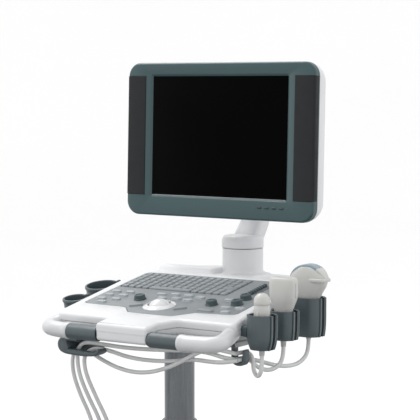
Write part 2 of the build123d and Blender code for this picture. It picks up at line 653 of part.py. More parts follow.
for name, (knob_u, knob_v) in KNOBS.items():
    with BuildPart() as knob:
        with BuildSketch(on_deck(knob_u, knob_v, 0.6)):
            RegularPolygon(KNOB_RADIUS, 12)
        extrude(amount=KNOB_HEIGHT, taper=6)
        chamfer(knob.faces().sort_by(on_deck(0, 0).location.z_axis)[-1].edges(), 1.2)
        with BuildSketch(on_deck(knob_u, knob_v, 0.6)):
            Circle(KNOB_SHAFT)
        extrude(amount=-(PANEL_THICKNESS + 3))
    knob.part.label = f"knob_{name}"
    export_step(knob.part, f"parts/knob_{name}.step")

with BuildPart() as gain_sliders:
    for slot_v in slot_rows():
        with BuildSketch(on_deck(SLIDER_U, slot_v, KEY_HEAD_LOW - 1)):
            Rectangle(7, 5.5)
        extrude(amount=6, taper=12)
        with BuildSketch(on_deck(SLIDER_U, slot_v, KEY_HEAD_LOW - 0.5)):
            Rectangle(4, 2)
        extrude(amount=-9)
gain_sliders.part.label = "gain_sliders"
export_step(gain_sliders.part, "parts/gain_sliders.step")


# --- Front handle ------------------------------------------------------------------------

HANDLE_CORNERS = (-174.0, 198.0)
GRIPS = ((-121.0, -55.3), (57.5, 124.0))
GRIP_CORE = 11.0


def handle_half(side):
    """Half of the front handle: from the nose to a front corner of the console."""
    corner = HANDLE_CORNERS[0 if side < 0 else 1]
    with BuildPart() as half:
        with BuildLine():
            FilletPolyline((side * NOSE_HALF_WIDTH, HANDLE_Y, HANDLE_Z),
                           (corner, HANDLE_Y, HANDLE_Z), (corner - side * 10, -112, 815), radius=24)
        with BuildSketch(Plane(origin=(side * NOSE_HALF_WIDTH, HANDLE_Y, HANDLE_Z),
                               z_dir=(side, 0, 0))):
            Circle(HANDLE_RADIUS)
        sweep()
        grip_low, grip_high = GRIPS[0 if side < 0 else 1]
        middle = (grip_low + grip_high) / 2
        with Locations(Plane(origin=(middle, HANDLE_Y, HANDLE_Z), z_dir=(1, 0, 0))):
            Cylinder(HANDLE_RADIUS + 1, grip_high - grip_low, mode=Mode.SUBTRACT)
            Cylinder(GRIP_CORE, grip_high - grip_low + 4)
        add(console_outside, mode=Mode.SUBTRACT)
    return half.part


handle_bars = Compound(children=[handle_half(-1), handle_half(1)])
handle_bars.label = "handle_bars"
export_step(handle_bars, "parts/handle_bars.step")

with BuildPart() as handle_grips:
    for grip_low, grip_high in GRIPS:
        with BuildSketch(Plane.YZ.offset(grip_low + 0.2)):
            with Locations((HANDLE_Y, HANDLE_Z)):
                Circle(HANDLE_RADIUS + 0.4)
                Circle(GRIP_CORE, mode=Mode.SUBTRACT)
        extrude(amount=grip_high - grip_low - 0.4)
handle_grips.part.label = "handle_grips"
export_step(handle_grips.part, "parts/handle_grips.step")


# --- Probe holders and probes ------------------------------------------------------------

# Each holder: y, bottom z, top z, outer size at the top (x, y), outer size at the bottom
HOLDERS = ((-90.0, 789.0, 850.0, (50.0, 48.0), (38.0, 36.0)),
           (-18.0, 797.0, 849.0, (52.0, 46.0), (46.0, 40.0)),
           (70.0, 792.0, 863.0, (60.0, 50.0), (54.0, 46.0)))
SLEEVE_WALL = 4.0
SLIT = 12.0


def rounded_tube(x, y, levels, radius_share):
    """A solid lofted through rounded rectangles given as (z, width, depth)."""
    with BuildPart() as tube:
        for z, width, depth in levels:
            with BuildSketch(Plane.XY.offset(z)):
                with Locations((x, y)):
                    RectangleRounded(width, depth, min(width, depth) * radius_share)
        loft(ruled=True)
    return tube.part


for number, (holder_y, low, high, top_size, foot_size) in enumerate(HOLDERS, start=1):
    shoulder = low + 24
    outer_levels = [(low, *foot_size), (shoulder, *top_size), (high, *top_size)]
    inner_levels = [(z, width - 2 * SLEEVE_WALL, depth - 2 * SLEEVE_WALL)
                    for z, width, depth in outer_levels]
    inner_levels[0] = (low - 0.1, *inner_levels[0][1:])
    inner_levels[-1] = (high + 0.1, *inner_levels[-1][1:])
    inner_solid = rounded_tube(HOLDER_X, holder_y, inner_levels, 0.42)
    with BuildPart() as holder:
        add(rounded_tube(HOLDER_X, holder_y, outer_levels, 0.42))
        with Locations((HOLDER_X - top_size[0] / 2, holder_y, low + 30)):
            Box(60, 26, 22, align=(Align.CENTER, Align.CENTER, Align.CENTER))
        add(inner_solid, mode=Mode.SUBTRACT)
        with Locations((HOLDER_X, holder_y, (low + high) / 2)):
            Box(60, SLIT, high - low + 2, align=(Align.MIN, Align.CENTER, Align.CENTER),
                mode=Mode.SUBTRACT)
        add(console_outside, mode=Mode.SUBTRACT)
        with Locations((188 - 30, holder_y, low + 30)):
            Box(60, 40, 40, align=(Align.MAX, Align.CENTER, Align.CENTER), mode=Mode.SUBTRACT)
    holder.part.label = f"probe_holder_{number}"
    export_step(holder.part, f"parts/probe_holder_{number}.step")

# Each probe's body as (z, width, depth) from the cable sleeve up to the lens
RELIEF_FOOT = CABLE + 1.6
PROBES = (
    ((778, RELIEF_FOOT, RELIEF_FOOT), (796, 13, 13), (812, 20, 20), (830, 25, 25),
     (858, 29, 29), (874, 29, 29), (884, 20, 20), (887, 9, 9)),
    ((784, RELIEF_FOOT, RELIEF_FOOT), (806, 14, 14), (818, 24, 20), (848, 32, 23),
     (864, 44, 27), (870, 50, 29), (900, 51, 29), (907, 45, 24)),
    ((786, RELIEF_FOOT, RELIEF_FOOT), (808, 14, 14), (822, 26, 22), (850, 36, 27),
     (872, 52, 31), (888, 70, 33), (900, 75, 33), (912, 68, 32), (920, 46, 30), (923, 24, 26)),
)
for number, (levels, holder) in enumerate(zip(PROBES, HOLDERS), start=1):
    probe = rounded_tube(HOLDER_X, holder[0], levels, 0.44)
    probe.label = f"probe_{number}"
    export_step(probe, f"parts/probe_{number}.step")


# --- Cups on the left side ---------------------------------------------------------------

# Each cup: v on the deck, height of the rim over the deck, outer radius, depth
CUPS = {"small": (49.0, -17.0, 23.5, 50.0), "large": (135.0, -15.0, 32.5, 62.0)}
CUP_WALL, CUP_FLOOR = 2.5, 3.0

for name, (cup_v, rim, cup_radius, depth) in CUPS.items():
    with BuildPart() as cup:
        with BuildSketch(on_deck(CUP_X, cup_v, rim)):
            Circle(cup_radius)
        extrude(amount=-depth, taper=2)
        with BuildSketch(on_deck((CUP_X - 150) / 2, cup_v, rim - 12)):
            Rectangle(abs(CUP_X + 150), 22)
        extrude(amount=8)
        with BuildSketch(on_deck(CUP_X, cup_v, rim + 2)):
            Circle(cup_radius - CUP_WALL)
        extrude(amount=-(depth - CUP_FLOOR + 2), mode=Mode.SUBTRACT)
        add(console_outside, mode=Mode.SUBTRACT)
        with Locations((-150, DECK_Y + cup_v, DECK_Z)):
            Box(50, 200, 200, mode=Mode.SUBTRACT)
    cup.part.label = f"cup_{name}"
    export_step(cup.part, f"parts/cup_{name}.step")


# --- Cable hooks under the console -------------------------------------------------------

RAIL_X, RAIL_WIDTH, RAIL_LOW, RAIL_HIGH = 175.0, 16.0, 787.0, 796.0
RAIL_FRONT_Y, RAIL_REAR_Y = -92.0, -20.0
HOOK_RIGHT_Y, HOOK_RIGHT_WIDTH = -90.0, 16.0
HOOK_LEFT_TIP = -76.0
GUARD_FRONT, GUARD_THICKNESS = -118.4, 1.5    # plate behind the cables in the left hook

with BuildPart() as hook_right:
    with Locations((RAIL_X, RAIL_FRONT_Y, RAIL_LOW)):
        Box(RAIL_WIDTH, RAIL_REAR_Y - RAIL_FRONT_Y, RAIL_HIGH - RAIL_LOW,
            align=(Align.CENTER, Align.MIN, Align.MIN))
    with Locations((RAIL_X, RAIL_FRONT_Y + 12, RAIL_HIGH)):
        Box(RAIL_WIDTH / 2, RAIL_REAR_Y - RAIL_FRONT_Y - 24, 30,
            align=(Align.CENTER, Align.MIN, Align.MIN))
    with Locations((RAIL_X, RAIL_FRONT_Y, RAIL_LOW + 2.5)):
        Box(RAIL_WIDTH - 5, 40, 4, align=(Align.CENTER, Align.CENTER, Align.MIN),
            mode=Mode.SUBTRACT)
    with BuildSketch(Plane.XZ.offset(-HOOK_RIGHT_Y)):
        with BuildLine():
            Polyline((176, RAIL_LOW + 1), (176, 765), (184, 757), (198, 757), (206, 765),
                     (206, 783), (203.5, RAIL_LOW), (201, RAIL_LOW), (199, 784), (199, 767),
                     (196, 764), (186, 764), (183, 767), (183, RAIL_LOW + 1), close=True)
        make_face()
    extrude(amount=HOOK_RIGHT_WIDTH / 2, both=True)
    add(console_outside, mode=Mode.SUBTRACT)
hook_right.part.label = "hook_right"
export_step(hook_right.part, "parts/hook_right.step")

with BuildPart() as hook_left:
    with BuildSketch(Plane.XZ.offset(134)):
        with BuildLine():
            Polyline((-128, 786), (-152, 785), (-164, 779), (-169, 768), (-162, 758), (-140, 754),
                     (-98, 752), (HOOK_LEFT_TIP - 4, 756), (HOOK_LEFT_TIP + 1, 763),
                     (HOOK_LEFT_TIP - 1, 767), (HOOK_LEFT_TIP - 8, 764), (-100, 761), (-138, 762),
                     (-152, 765), (-156, 770), (-150, 776), (-128, 777), close=True)
        make_face()
    extrude(amount=14)
    with BuildSketch(Plane.XZ.offset(118)):
        with BuildLine():
            Polyline((-98, 750), (-98, 754), (HOOK_LEFT_TIP, 759), (HOOK_LEFT_TIP, 755),
                     close=True)
        make_face()
    extrude(amount=18)
    with BuildSketch(Plane.XZ.offset(-GUARD_FRONT)):
        with BuildLine():
            Polyline((-164, 774), (-160, 760), (-140, 755.5), (-96, 754.5), (-82, 761),
                     (-84, 768), (-100, 775), (-128, 783), (-156, 784), close=True)
        make_face()
    extrude(amount=-GUARD_THICKNESS)
    with Locations((-128, -138, 778)):
        Box(20, 20, 40, align=(Align.MAX, Align.MIN, Align.MIN))
    add(console_outside, mode=Mode.SUBTRACT)
    with Locations((-150, -130, 812)):
        Box(400, 200, 8, align=(Align.CENTER, Align.CENTER, Align.MIN), mode=Mode.SUBTRACT)
hook_left.part.label = "hook_left"
export_step(hook_left.part, "parts/hook_left.step")


# --- Monitor arm and monitor -------------------------------------------------------------

ARM_HALF_WIDTH = 28.0
SHELL_DEPTH, BEZEL_DEPTH = 62.0, 14.0
PIN_RADIUS = 6.0
GRILLE_WIDTH = 44.0
BUTTON_V = -131.0
BUTTON_U = (96.0, 112.0, 128.0, 144.0)

with BuildPart() as monitor_arm:
    with Locations((0, TURRET_Y, TURRET_SEAM + GAP)):
        Cylinder(TURRET_RADIUS + 1, CAP_TOP - TURRET_SEAM - GAP,
                 align=(Align.CENTER, Align.CENTER, Align.MIN))
    fillet(monitor_arm.edges().group_by(Axis.Z)[-1], 9)
    with Locations((0, TURRET_Y, TURRET_SEAM + GAP)):
        Cylinder(12, 40, align=(Align.CENTER, Align.CENTER, Align.MAX))
    with BuildSketch(Plane.YZ):
        with BuildLine():
            Spline((253, CAP_TOP - 14), (281, 978), (291, 1018), (268, 1064),
                   tangents=((0.4, 1), (-0.6, 0.8)))
            Line((268, 1064), (232, 1060))
            Spline((232, 1060), (248, 1018), (238, 984), (208, CAP_TOP - 4),
                   tangents=((0.5, -0.9), (-0.9, -0.6)))
            Line((208, CAP_TOP - 4), (208, CAP_TOP - 14))
            Line((208, CAP_TOP - 14), (253, CAP_TOP - 14))
        make_face()
    extrude(amount=ARM_HALF_WIDTH, both=True)
    with Locations(Plane(origin=(0, TILT_Y, TILT_Z), z_dir=(1, 0, 0))):
        Cylinder(22, 2 * ARM_HALF_WIDTH)
        Cylinder(PIN_RADIUS + RUNNING, 2 * ARM_HALF_WIDTH + 2, mode=Mode.SUBTRACT)
monitor_arm.part.label = "monitor_arm"
export_step(monitor_arm.part, "parts/monitor_arm.step")

with BuildPart() as monitor_shell:
    with BuildSketch(on_screen(0, BEZEL_DROP, -BEZEL_DEPTH)):
        RectangleRounded(BEZEL_WIDTH - 6, BEZEL_HEIGHT - 6, 34)
    extrude(amount=-(SHELL_DEPTH - BEZEL_DEPTH), taper=14)
    fillet(monitor_shell.faces().sort_by(Axis.Y)[-1].outer_wire().edges(), 12)
    with BuildSketch(on_screen(0, BEZEL_DROP, -BEZEL_DEPTH)):
        RectangleRounded(BEZEL_WIDTH - 14, BEZEL_HEIGHT - 14, 30)
    extrude(amount=-(SHELL_DEPTH - BEZEL_DEPTH - 4), taper=14, mode=Mode.SUBTRACT)
    with BuildSketch(on_screen(0, TILT_Z - SCREEN_Z, -SHELL_DEPTH)):
        RectangleRounded(104, 76, 8)
    extrude(amount=-7)
    for ear in (-1, 1):
        with BuildSketch(Plane.YZ.offset(ear * (ARM_HALF_WIDTH + 5))):
            with Locations((TILT_Y, TILT_Z)):
                Circle(16)
            with Locations((SCREEN_Y + SHELL_DEPTH + 1, TILT_Z)):
                Rectangle(8, 56)
            make_hull()
        extrude(amount=4, both=True)
    with Locations(Plane(origin=(0, TILT_Y, TILT_Z), z_dir=(1, 0, 0))):
        Cylinder(PIN_RADIUS, 2 * ARM_HALF_WIDTH + 20)
monitor_shell.part.label = "monitor_shell"
export_step(monitor_shell.part, "parts/monitor_shell.step")

with BuildPart() as monitor_bezel:
    with BuildSketch(on_screen(0, BEZEL_DROP, 3)):
        RectangleRounded(BEZEL_WIDTH, BEZEL_HEIGHT, 30)
    extrude(amount=-(BEZEL_DEPTH + 3))
    chamfer(monitor_bezel.faces().sort_by(on_screen().location.z_axis)[-1].edges(), 2.5)
    with BuildSketch(on_screen(0, 0, 4)):
        Rectangle(SCREEN_WIDTH + 4, SCREEN_HEIGHT + 4)
    extrude(amount=-30, mode=Mode.SUBTRACT)
    with BuildSketch(on_screen(0, 0, 4)):
        with Locations((-BEZEL_WIDTH / 2 + 1, 0), (BEZEL_WIDTH / 2 - 1, 0)):
            RectangleRounded(2 * GRILLE_WIDTH, SCREEN_HEIGHT + 4, 3)
    extrude(amount=-2.2, mode=Mode.SUBTRACT)
    with BuildSketch(on_screen(0, 0, 4)):
        with Locations(*[(button_u, BUTTON_V) for button_u in BUTTON_U]):
            RectangleRounded(10.6, 4.6, 1.5)
    extrude(amount=-8, mode=Mode.SUBTRACT)
monitor_bezel.part.label = "monitor_bezel"
export_step(monitor_bezel.part, "parts/monitor_bezel.step")

with BuildPart() as lcd_panel:
    with BuildSketch(on_screen(0, 0, 0)):
        Rectangle(SCREEN_WIDTH + 3.4, SCREEN_HEIGHT + 3.4)
    extrude(amount=-12)
    with BuildSketch(on_screen(0, 0, -BEZEL_DEPTH - 1)):
        Rectangle(SCREEN_WIDTH + 16, SCREEN_HEIGHT + 14)
    extrude(amount=-8)
    with BuildSketch(on_screen(0, 0, -10)):
        Rectangle(SCREEN_WIDTH, SCREEN_HEIGHT)
    extrude(amount=-8)
    with BuildSketch(on_screen(-40, 10, -BEZEL_DEPTH - 9)):
        Rectangle(130, 90)
    extrude(amount=-3)
lcd_panel.part.label = "lcd_panel"
export_step(lcd_panel.part, "parts/lcd_panel.step")

with BuildPart() as monitor_buttons:
    with BuildSketch(on_screen(0, 0, 4.4)):
        with Locations(*[(button_u, BUTTON_V) for button_u in BUTTON_U]):
            RectangleRounded(10, 4, 1.3)
    extrude(amount=-7)
monitor_buttons.part.label = "monitor_buttons"
export_step(monitor_buttons.part, "parts/monitor_buttons.step")


# --- Probe cables ------------------------------------------------------------------------
# The upper half of a cable hangs from the console: from the probe's sleeve through the right
# hook, under the console and over the left hook. The lower half hangs from the cart's plug.
# They meet in mid-air, so that the console can rise.

HOOK_ENDS = ((189, -102, 779), (194.8, -107, 768.2), (186.9, -102, 769))
PROBE_CORDS = (
    ((235, -90, 778), (235, -90, 757), (229, -87, 743), (218, -80, 739), (208, -74, 748),
     (206, -72, 764), (200, -72, 777), (191.5, -82, 780), HOOK_ENDS[0]),
    ((235, -18, 784), (235, -18, 764), (228, -27, 748), (217, -41, 743), (205, -56, 750),
     (197.5, -67, 763.5), (195, -80, 768.8), HOOK_ENDS[1]),
    ((235, 70, 786), (235, 70, 766), (231.4, 59.6, 750), (224, 38, 741), (211.5, 2, 744),
     (197, -45, 760), (188, -74, 768), (187, -92, 768.5), HOOK_ENDS[2]),
)
SPLITS = ((-132.5, -66, 520), (-82, -68, 520), (-105, -69, 520))
HOOK_CORDS = (
    ((172, -112, 784), (140, -106, 784), (100, -95, 770), (68, -104, 750), (30, -108, 734),
     (-10, -110, 726), (-52, -112, 729), (-98, -112, 743), (-132, -112, 761),
     (-149.8, -112, 758.5), (-165, -110, 746), (-170, -104, 712), (-162, -92, 668),
     (-147, -79, 625), (-136, -69, 560), SPLITS[0]),
    ((178, -120, 765), (140, -104, 760), (92, -88, 758), (48, -98, 751), (0, -107, 750),
     (-36, -115, 754), (-64, -120, 761.5), (-90, -123.5, 766), (-108, -125.5, 763),
     (-119, -126.5, 755), (-125, -127, 743), (-125, -122, 716), (-113, -105, 668),
     (-101, -88, 625), (-89, -72, 560), SPLITS[1]),
    ((174, -112, 771), (135, -93, 772.5), (100, -84, 773), (62, -94, 772), (10, -105, 770),
     (-38, -114, 770), (-80, -122, 773), (-117, -128, 776), (-132, -128.5, 769),
     (-140, -128, 756), (-141, -123, 716), (-131, -106, 668), (-119, -88, 625),
     (-108, -73, 560), SPLITS[2]),
)
PLUG_CORDS = (
    ((-127.5, -62.5, 473), (-126, -62, 385), (PORT_X[0], -62, 280),
     (PORT_X[0], -62, 172), (PORT_X[0], RELIEF_Y, 172), (PORT_X[0], RELIEF_Y, RELIEF_BOTTOM)),
    ((-72, -63, 473), (-60, -62, 385), (PORT_X[2], -62, 280),
     (PORT_X[2], -62, 172), (PORT_X[2], RELIEF_Y, 172), (PORT_X[2], RELIEF_Y, RELIEF_BOTTOM)),
    ((-99, -64.5, 473), (-92, -62, 385), (PORT_X[1], -62, 280),
     (PORT_X[1], -62, 172), (PORT_X[1], RELIEF_Y, 172), (PORT_X[1], RELIEF_Y, RELIEF_BOTTOM)),
)


def corner_radii(points):
    """The largest comfortable bend at each corner of a cable's route."""
    radii = []
    for before, corner, after in zip(points, points[1:], points[2:]):
        run_in = Vector(*corner) - Vector(*before)
        run_out = Vector(*after) - Vector(*corner)
        half_turn = radians(run_in.get_angle(run_out)) / 2
        radii.append(0.45 * min(run_in.length, run_out.length) / tan(half_turn))
    return radii


def make_cord(points):
    """A cable as a round tube along straight runs joined by tangent bends."""
    with BuildPart() as tube:
        with BuildLine() as route:
            FilletPolyline(*points, radius=corner_radii(points))
        with BuildSketch(Plane(origin=points[0], z_dir=route.line % 0)):
            Circle(CABLE / 2)
        sweep()
    return tube.part


for number in range(3):
    split_x, split_y, split_z = SPLITS[number]
    below_split = (split_x, split_y, split_z - GAP)
    upper_route = PROBE_CORDS[number] + HOOK_CORDS[number]
    lower_route = (below_split,) + PLUG_CORDS[number]
    for half, route_points in (("upper", upper_route), ("lower", lower_route)):
        cord_part = make_cord(route_points)
        cord_part.label = f"cable_{number + 1}_{half}"
        export_step(cord_part, f"parts/cable_{number + 1}_{half}.step")
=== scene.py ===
"""The look of the ultrasound machine: pieces, materials, light and camera round the CAD frame."""

from math import cos, pi, radians, sin, tan

import bmesh
import bpy
from mathutils import Euler, Matrix, Vector


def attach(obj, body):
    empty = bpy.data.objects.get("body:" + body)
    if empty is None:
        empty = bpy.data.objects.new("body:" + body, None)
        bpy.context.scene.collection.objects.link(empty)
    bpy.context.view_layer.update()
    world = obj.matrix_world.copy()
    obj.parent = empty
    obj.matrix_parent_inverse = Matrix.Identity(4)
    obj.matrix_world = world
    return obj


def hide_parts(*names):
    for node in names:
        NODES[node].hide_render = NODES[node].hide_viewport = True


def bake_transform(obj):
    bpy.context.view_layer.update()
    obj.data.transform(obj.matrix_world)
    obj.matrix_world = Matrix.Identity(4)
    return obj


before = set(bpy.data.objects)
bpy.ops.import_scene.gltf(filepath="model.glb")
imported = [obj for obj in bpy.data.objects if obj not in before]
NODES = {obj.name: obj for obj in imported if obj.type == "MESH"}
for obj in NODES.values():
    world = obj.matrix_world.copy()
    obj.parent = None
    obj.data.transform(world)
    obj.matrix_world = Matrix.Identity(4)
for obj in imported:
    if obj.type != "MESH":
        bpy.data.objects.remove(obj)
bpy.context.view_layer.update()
MM = 0.001
DECK_SLOPE = radians(9.5)
DECK_LEVEL = 877.3
PROBE_X = 235
TURRET_Y = 218
TILT_Y, TILT_Z = 240, 1066
SCREEN_Y, SCREEN_Z = 130.5, 1145
CAMERA_TURN = 33.63


# --- Materials ---------------------------------------------------------------------------

def linear(colour):
    """An sRGB colour, 0 to 255, as linear light."""
    def one(value):
        value = value / 255
        return value / 12.92 if value <= 0.04045 else ((value + 0.055) / 1.055) ** 2.4
    return (*map(one, colour), 1.0)


class Surface:
    """A Principled material with its nodes placed by short calls."""

    def __init__(self, name, metallic=0.0, coat=0.0, specular=0.5):
        self.material = bpy.data.materials.new(name)
        self.material.use_nodes = True
        self.tree = self.material.node_tree
        self.shader = self.tree.nodes["Principled BSDF"]
        self.shader.inputs["Metallic"].default_value = metallic
        self.shader.inputs["Coat Weight"].default_value = coat
        self.shader.inputs["Specular IOR Level"].default_value = specular
        self.place = self.tree.nodes.new("ShaderNodeTexCoord").outputs["Object"]
        self.height = None

    def add(self, kind, values, links, **settings):
        """A new node with its settings, its inputs' values and its inputs' links."""
        node = self.tree.nodes.new("ShaderNode" + kind)
        for name, value in settings.items():
            setattr(node, name, value)
        for name, value in values.items():
            node.inputs[name].default_value = value
        for name, source in links.items():
            self.tree.links.new(source, node.inputs[name])
        return node

    def feed(self, name, source):
        """Link one of the shader's inputs."""
        self.tree.links.new(source, self.shader.inputs[name])
        return self

    def noise(self, scale, stretch=None):
        """A noise pattern over the piece, stretched if asked."""
        place = self.place
        if stretch:
            place = self.add("Mapping", {"Scale": stretch}, {"Vector": place}).outputs["Vector"]
        return self.add("TexNoise", {"Scale": scale, "Detail": 3.0}, {"Vector": place}).outputs["Fac"]

    def spread(self, source, low, high):
        """The middle of a noise pattern spread between two values."""
        return self.add("MapRange", {"From Min": 0.3, "From Max": 0.7, "To Min": low, "To Max": high},
                        {"Value": source}).outputs["Result"]

    def colour(self, colour, variation, scale, stretch=None):
        """Base colour with a soft darker mottle."""
        light = linear(colour)
        darker = tuple(channel * (1 - variation) for channel in light[:3]) + (1.0,)
        factor = self.spread(self.noise(scale, stretch), 0, 1)
        mix = self.add("Mix", {"A": light, "B": darker}, {"Factor": factor}, data_type="RGBA")
        return self.feed("Base Color", mix.outputs["Result"])

    def roughness(self, low, high, scale, stretch=None):
        """Roughness that varies between two values."""
        return self.feed("Roughness", self.spread(self.noise(scale, stretch), low, high))

    def shade_middle(self, colour, inner, outer):
        """A darker round patch of painted shade at the piece's origin that fades out with distance."""
        reach = self.add("VectorMath", {}, {"Vector": self.place}, operation="LENGTH").outputs["Value"]
        fade = self.add("MapRange", {"From Min": inner, "From Max": outer}, {"Value": reach})
        base = self.shader.inputs["Base Color"].links[0].from_socket
        links = {"B": base, "Factor": fade.outputs["Result"]}
        mix = self.add("Mix", {"A": linear(colour)}, links, data_type="RGBA")
        return self.feed("Base Color", mix.outputs["Result"])

    def grain(self, scale, strength, distance, stretch=None):
        """Fine relief, on top of what relief there is."""
        links = {"Height": self.noise(scale, stretch)}
        if self.height:
            links["Normal"] = self.height
        self.height = self.add("Bump", {"Strength": strength, "Distance": distance}, links).outputs["Normal"]
        return self.feed("Normal", self.height)


def moulded(name, colour, low, high, coat=0.0, grain=0.12, specular=0.5):
    """Injection-moulded plastic: faint mottle, uneven gloss and a fine spark-eroded grain."""
    surface = Surface(name, coat=coat, specular=specular)
    surface.colour(colour, 0.05, 14).roughness(low, high, 55)
    return surface.grain(1900, grain, 0.0003).grain(30, 0.05, 0.0006).material


WHITE = moulded("white_plastic", (213, 214, 216), 0.34, 0.46, coat=0.08, grain=0.06)
WHITE_GLOSS = moulded("white_gloss", (212, 213, 215), 0.12, 0.2, coat=0.4, grain=0.01)
# Painted shade: a darker copy of the shell's white for the handle tubes, standing in for the shade on their
# lower sides
HANDLE_WHITE_PAINTED_SHADE = moulded("handle_white_painted_shade", (200, 201, 203), 0.28, 0.38, coat=0.12, grain=0.05)
PANEL_GREY = moulded("panel_grey", (126, 131, 134), 0.42, 0.54, grain=0.2)
KEY_GREY = moulded("key_grey", (154, 160, 164), 0.26, 0.36, grain=0.08)
KEYBOARD_GREY = moulded("keyboard_grey", (128, 134, 138), 0.36, 0.46, grain=0.1)
KNOB_DARK = moulded("knob_soft_touch", (46, 65, 69), 0.32, 0.44, grain=0.12)
SLATE = moulded("slate_plastic", (74, 85, 89), 0.32, 0.42, grain=0.12)
SLATE_DARK = moulded("dark_lining", (38, 41, 43), 0.5, 0.62, grain=0.18)
BEZEL = moulded("bezel_teal", (44, 71, 74), 0.3, 0.4, coat=0.05, grain=0.05)
BEZEL_LINE = moulded("bezel_line", (24, 32, 34), 0.4, 0.5, specular=0.25)
GRILLE = moulded("speaker_grille", (34, 35, 37), 0.5, 0.62, grain=0.1, specular=0.2)
BEZEL_LIP = moulded("bezel_lip", (128, 136, 138), 0.3, 0.4, grain=0.04)
BLACK = moulded("black_plastic", (22, 22, 23), 0.35, 0.5)
PROBE_WHITE = moulded("probe_white", (190, 190, 187), 0.3, 0.42, coat=0.1, grain=0.06)
PROBE_LENS = moulded("probe_lens", (128, 146, 156), 0.25, 0.35, grain=0.03)
CABLE = moulded("cable_jacket", (210, 211, 211), 0.34, 0.46, grain=0.08)
SLEEVE = moulded("cable_sleeve", (188, 189, 186), 0.45, 0.55, grain=0.1)
TYRE = moulded("polyurethane_tyre", (52, 53, 55), 0.5, 0.65, grain=0.25)
CASTER_GREY = moulded("caster_grey", (120, 123, 126), 0.4, 0.5)
PEDAL_GREEN = moulded("pedal_green", (64, 110, 84), 0.4, 0.5)
BOARD = moulded("solder_mask", (24, 84, 46), 0.3, 0.45)


def metal(name, colour, low, high, stretch):
    """Metal with drawn or brushed streaks."""
    surface = Surface(name, metallic=1.0)
    surface.colour(colour, 0.12, 30, stretch).roughness(low, high, 60, stretch)
    return surface.grain(240, 0.08, 0.0002, stretch).material


def coated(name, colour, low, high):
    """Powder-coated metal with a faint orange peel."""
    surface = Surface(name, coat=0.1)
    surface.colour(colour, 0.05, 10).roughness(low, high, 40)
    return surface.grain(420, 0.12, 0.0004).material


COLUMN_METAL = metal("column_aluminium", (110, 113, 116), 0.24, 0.34, (5, 5, 0.3))
STEEL = metal("zinc_steel", (170, 172, 175), 0.3, 0.45, (2, 10, 10))
COLUMN_PAINT = coated("column_paint", (165, 168, 171), 0.35, 0.45)
BASE_PAINT = coated("base_paint", (205, 207, 208), 0.35, 0.45)


def screen_surface():
    """A dark anti-glare screen with a trace of dust and a soft sheen."""
    surface = Surface("screen_glass", specular=0.02)
    surface.colour((4, 4, 5), 0.4, 3).roughness(0.3, 0.38, 9)
    return surface.grain(2600, 0.04, 0.0001).material


def lamp_surface(name, colour, strength):
    """A small status lamp's lens."""
    surface = Surface(name, coat=0.5)
    surface.colour(colour, 0.1, 200).roughness(0.15, 0.25, 100)
    surface.shader.inputs["Emission Color"].default_value = linear(colour)
    surface.shader.inputs["Emission Strength"].default_value = strength
    return surface.material


SCREEN = screen_surface()
LAMP = lamp_surface("status_lamp", (58, 84, 80), 0.02)
BUTTON = moulded("bezel_button", (34, 54, 57), 0.35, 0.45)
LEGEND = moulded("printed_legend", (214, 218, 220), 0.5, 0.6, grain=0.02)


# --- Camera ------------------------------------------------------------------------------

camera_data = bpy.data.cameras.new("camera")
camera_data.lens = 134.3
camera_data.sensor_width = 36
camera_data.clip_start, camera_data.clip_end = 0.1, 60
camera = bpy.data.objects.new("camera", camera_data)
camera.location = (1.6388, -2.3618, 1.2395)
camera.rotation_euler = Euler((radians(85.51), 0, radians(CAMERA_TURN)))
bpy.context.scene.collection.objects.link(camera)
bpy.context.scene.camera = camera


# --- Mesh building -----------------------------------------------------------------------

def place_piece(name, mesh, body, material, nodes=()):
    """Put a piece in the scene, on its body, with its finish, for the CAD nodes it stands for."""
    piece = bpy.data.objects.new(name, mesh)
    bpy.context.scene.collection.objects.link(piece)
    mesh.materials.append(material)
    if body:
        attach(piece, body)
    if nodes:
        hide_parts(*nodes)
    return piece


def finish_mesh(name, bm, smooth_angle):
    """A mesh from a bmesh, cleaned, with soft shading below an angle."""
    bmesh.ops.remove_doubles(bm, verts=bm.verts, dist=1e-6)
    bmesh.ops.recalc_face_normals(bm, faces=bm.faces)
    for face in bm.faces:
        face.smooth = True
    for edge in bm.edges:
        if len(edge.link_faces) == 2 and edge.calc_face_angle(0) > radians(smooth_angle):
            edge.smooth = False
    mesh = bpy.data.meshes.new(name)
    bm.to_mesh(mesh)
    bm.free()
    return mesh


def show(name, bm, smooth_angle, body, slot, material, *nodes):
    """Finish a mesh and place it as a piece."""
    return place_piece(name, finish_mesh(name, bm, smooth_angle), body, material, nodes)


def metres(points):
    """Points in mm as vectors in metres."""
    return [Vector(point) * MM for point in points]


def add_loft(bm, rings, cap_first=True, cap_last=True, closed=True):
    """Faces through rings of equally many points."""
    rows = [[bm.verts.new(point) for point in ring] for ring in rings]
    count = len(rows[0])
    for low, high in zip(rows, rows[1:]):
        for index in range(count if closed else count - 1):
            after = (index + 1) % count
            bm.faces.new((low[index], low[after], high[after], high[index]))
    if cap_first:
        bm.faces.new(list(reversed(rows[0])))
    if cap_last:
        bm.faces.new(rows[-1])
    return rows


def rounded_ring(width, depth, radius, steps=8, middle=(0, 0)):
    """A rounded rectangle as points, anticlockwise."""
    points = []
    for corner, (side_x, side_y) in enumerate(((1, 1), (-1, 1), (-1, -1), (1, -1))):
        for step in range(steps + 1):
            angle = pi / 2 * (corner + step / steps)
            points.append((middle[0] + side_x * (width / 2 - radius) + radius * cos(angle),
                           middle[1] + side_y * (depth / 2 - radius) + radius * sin(angle)))
    return points


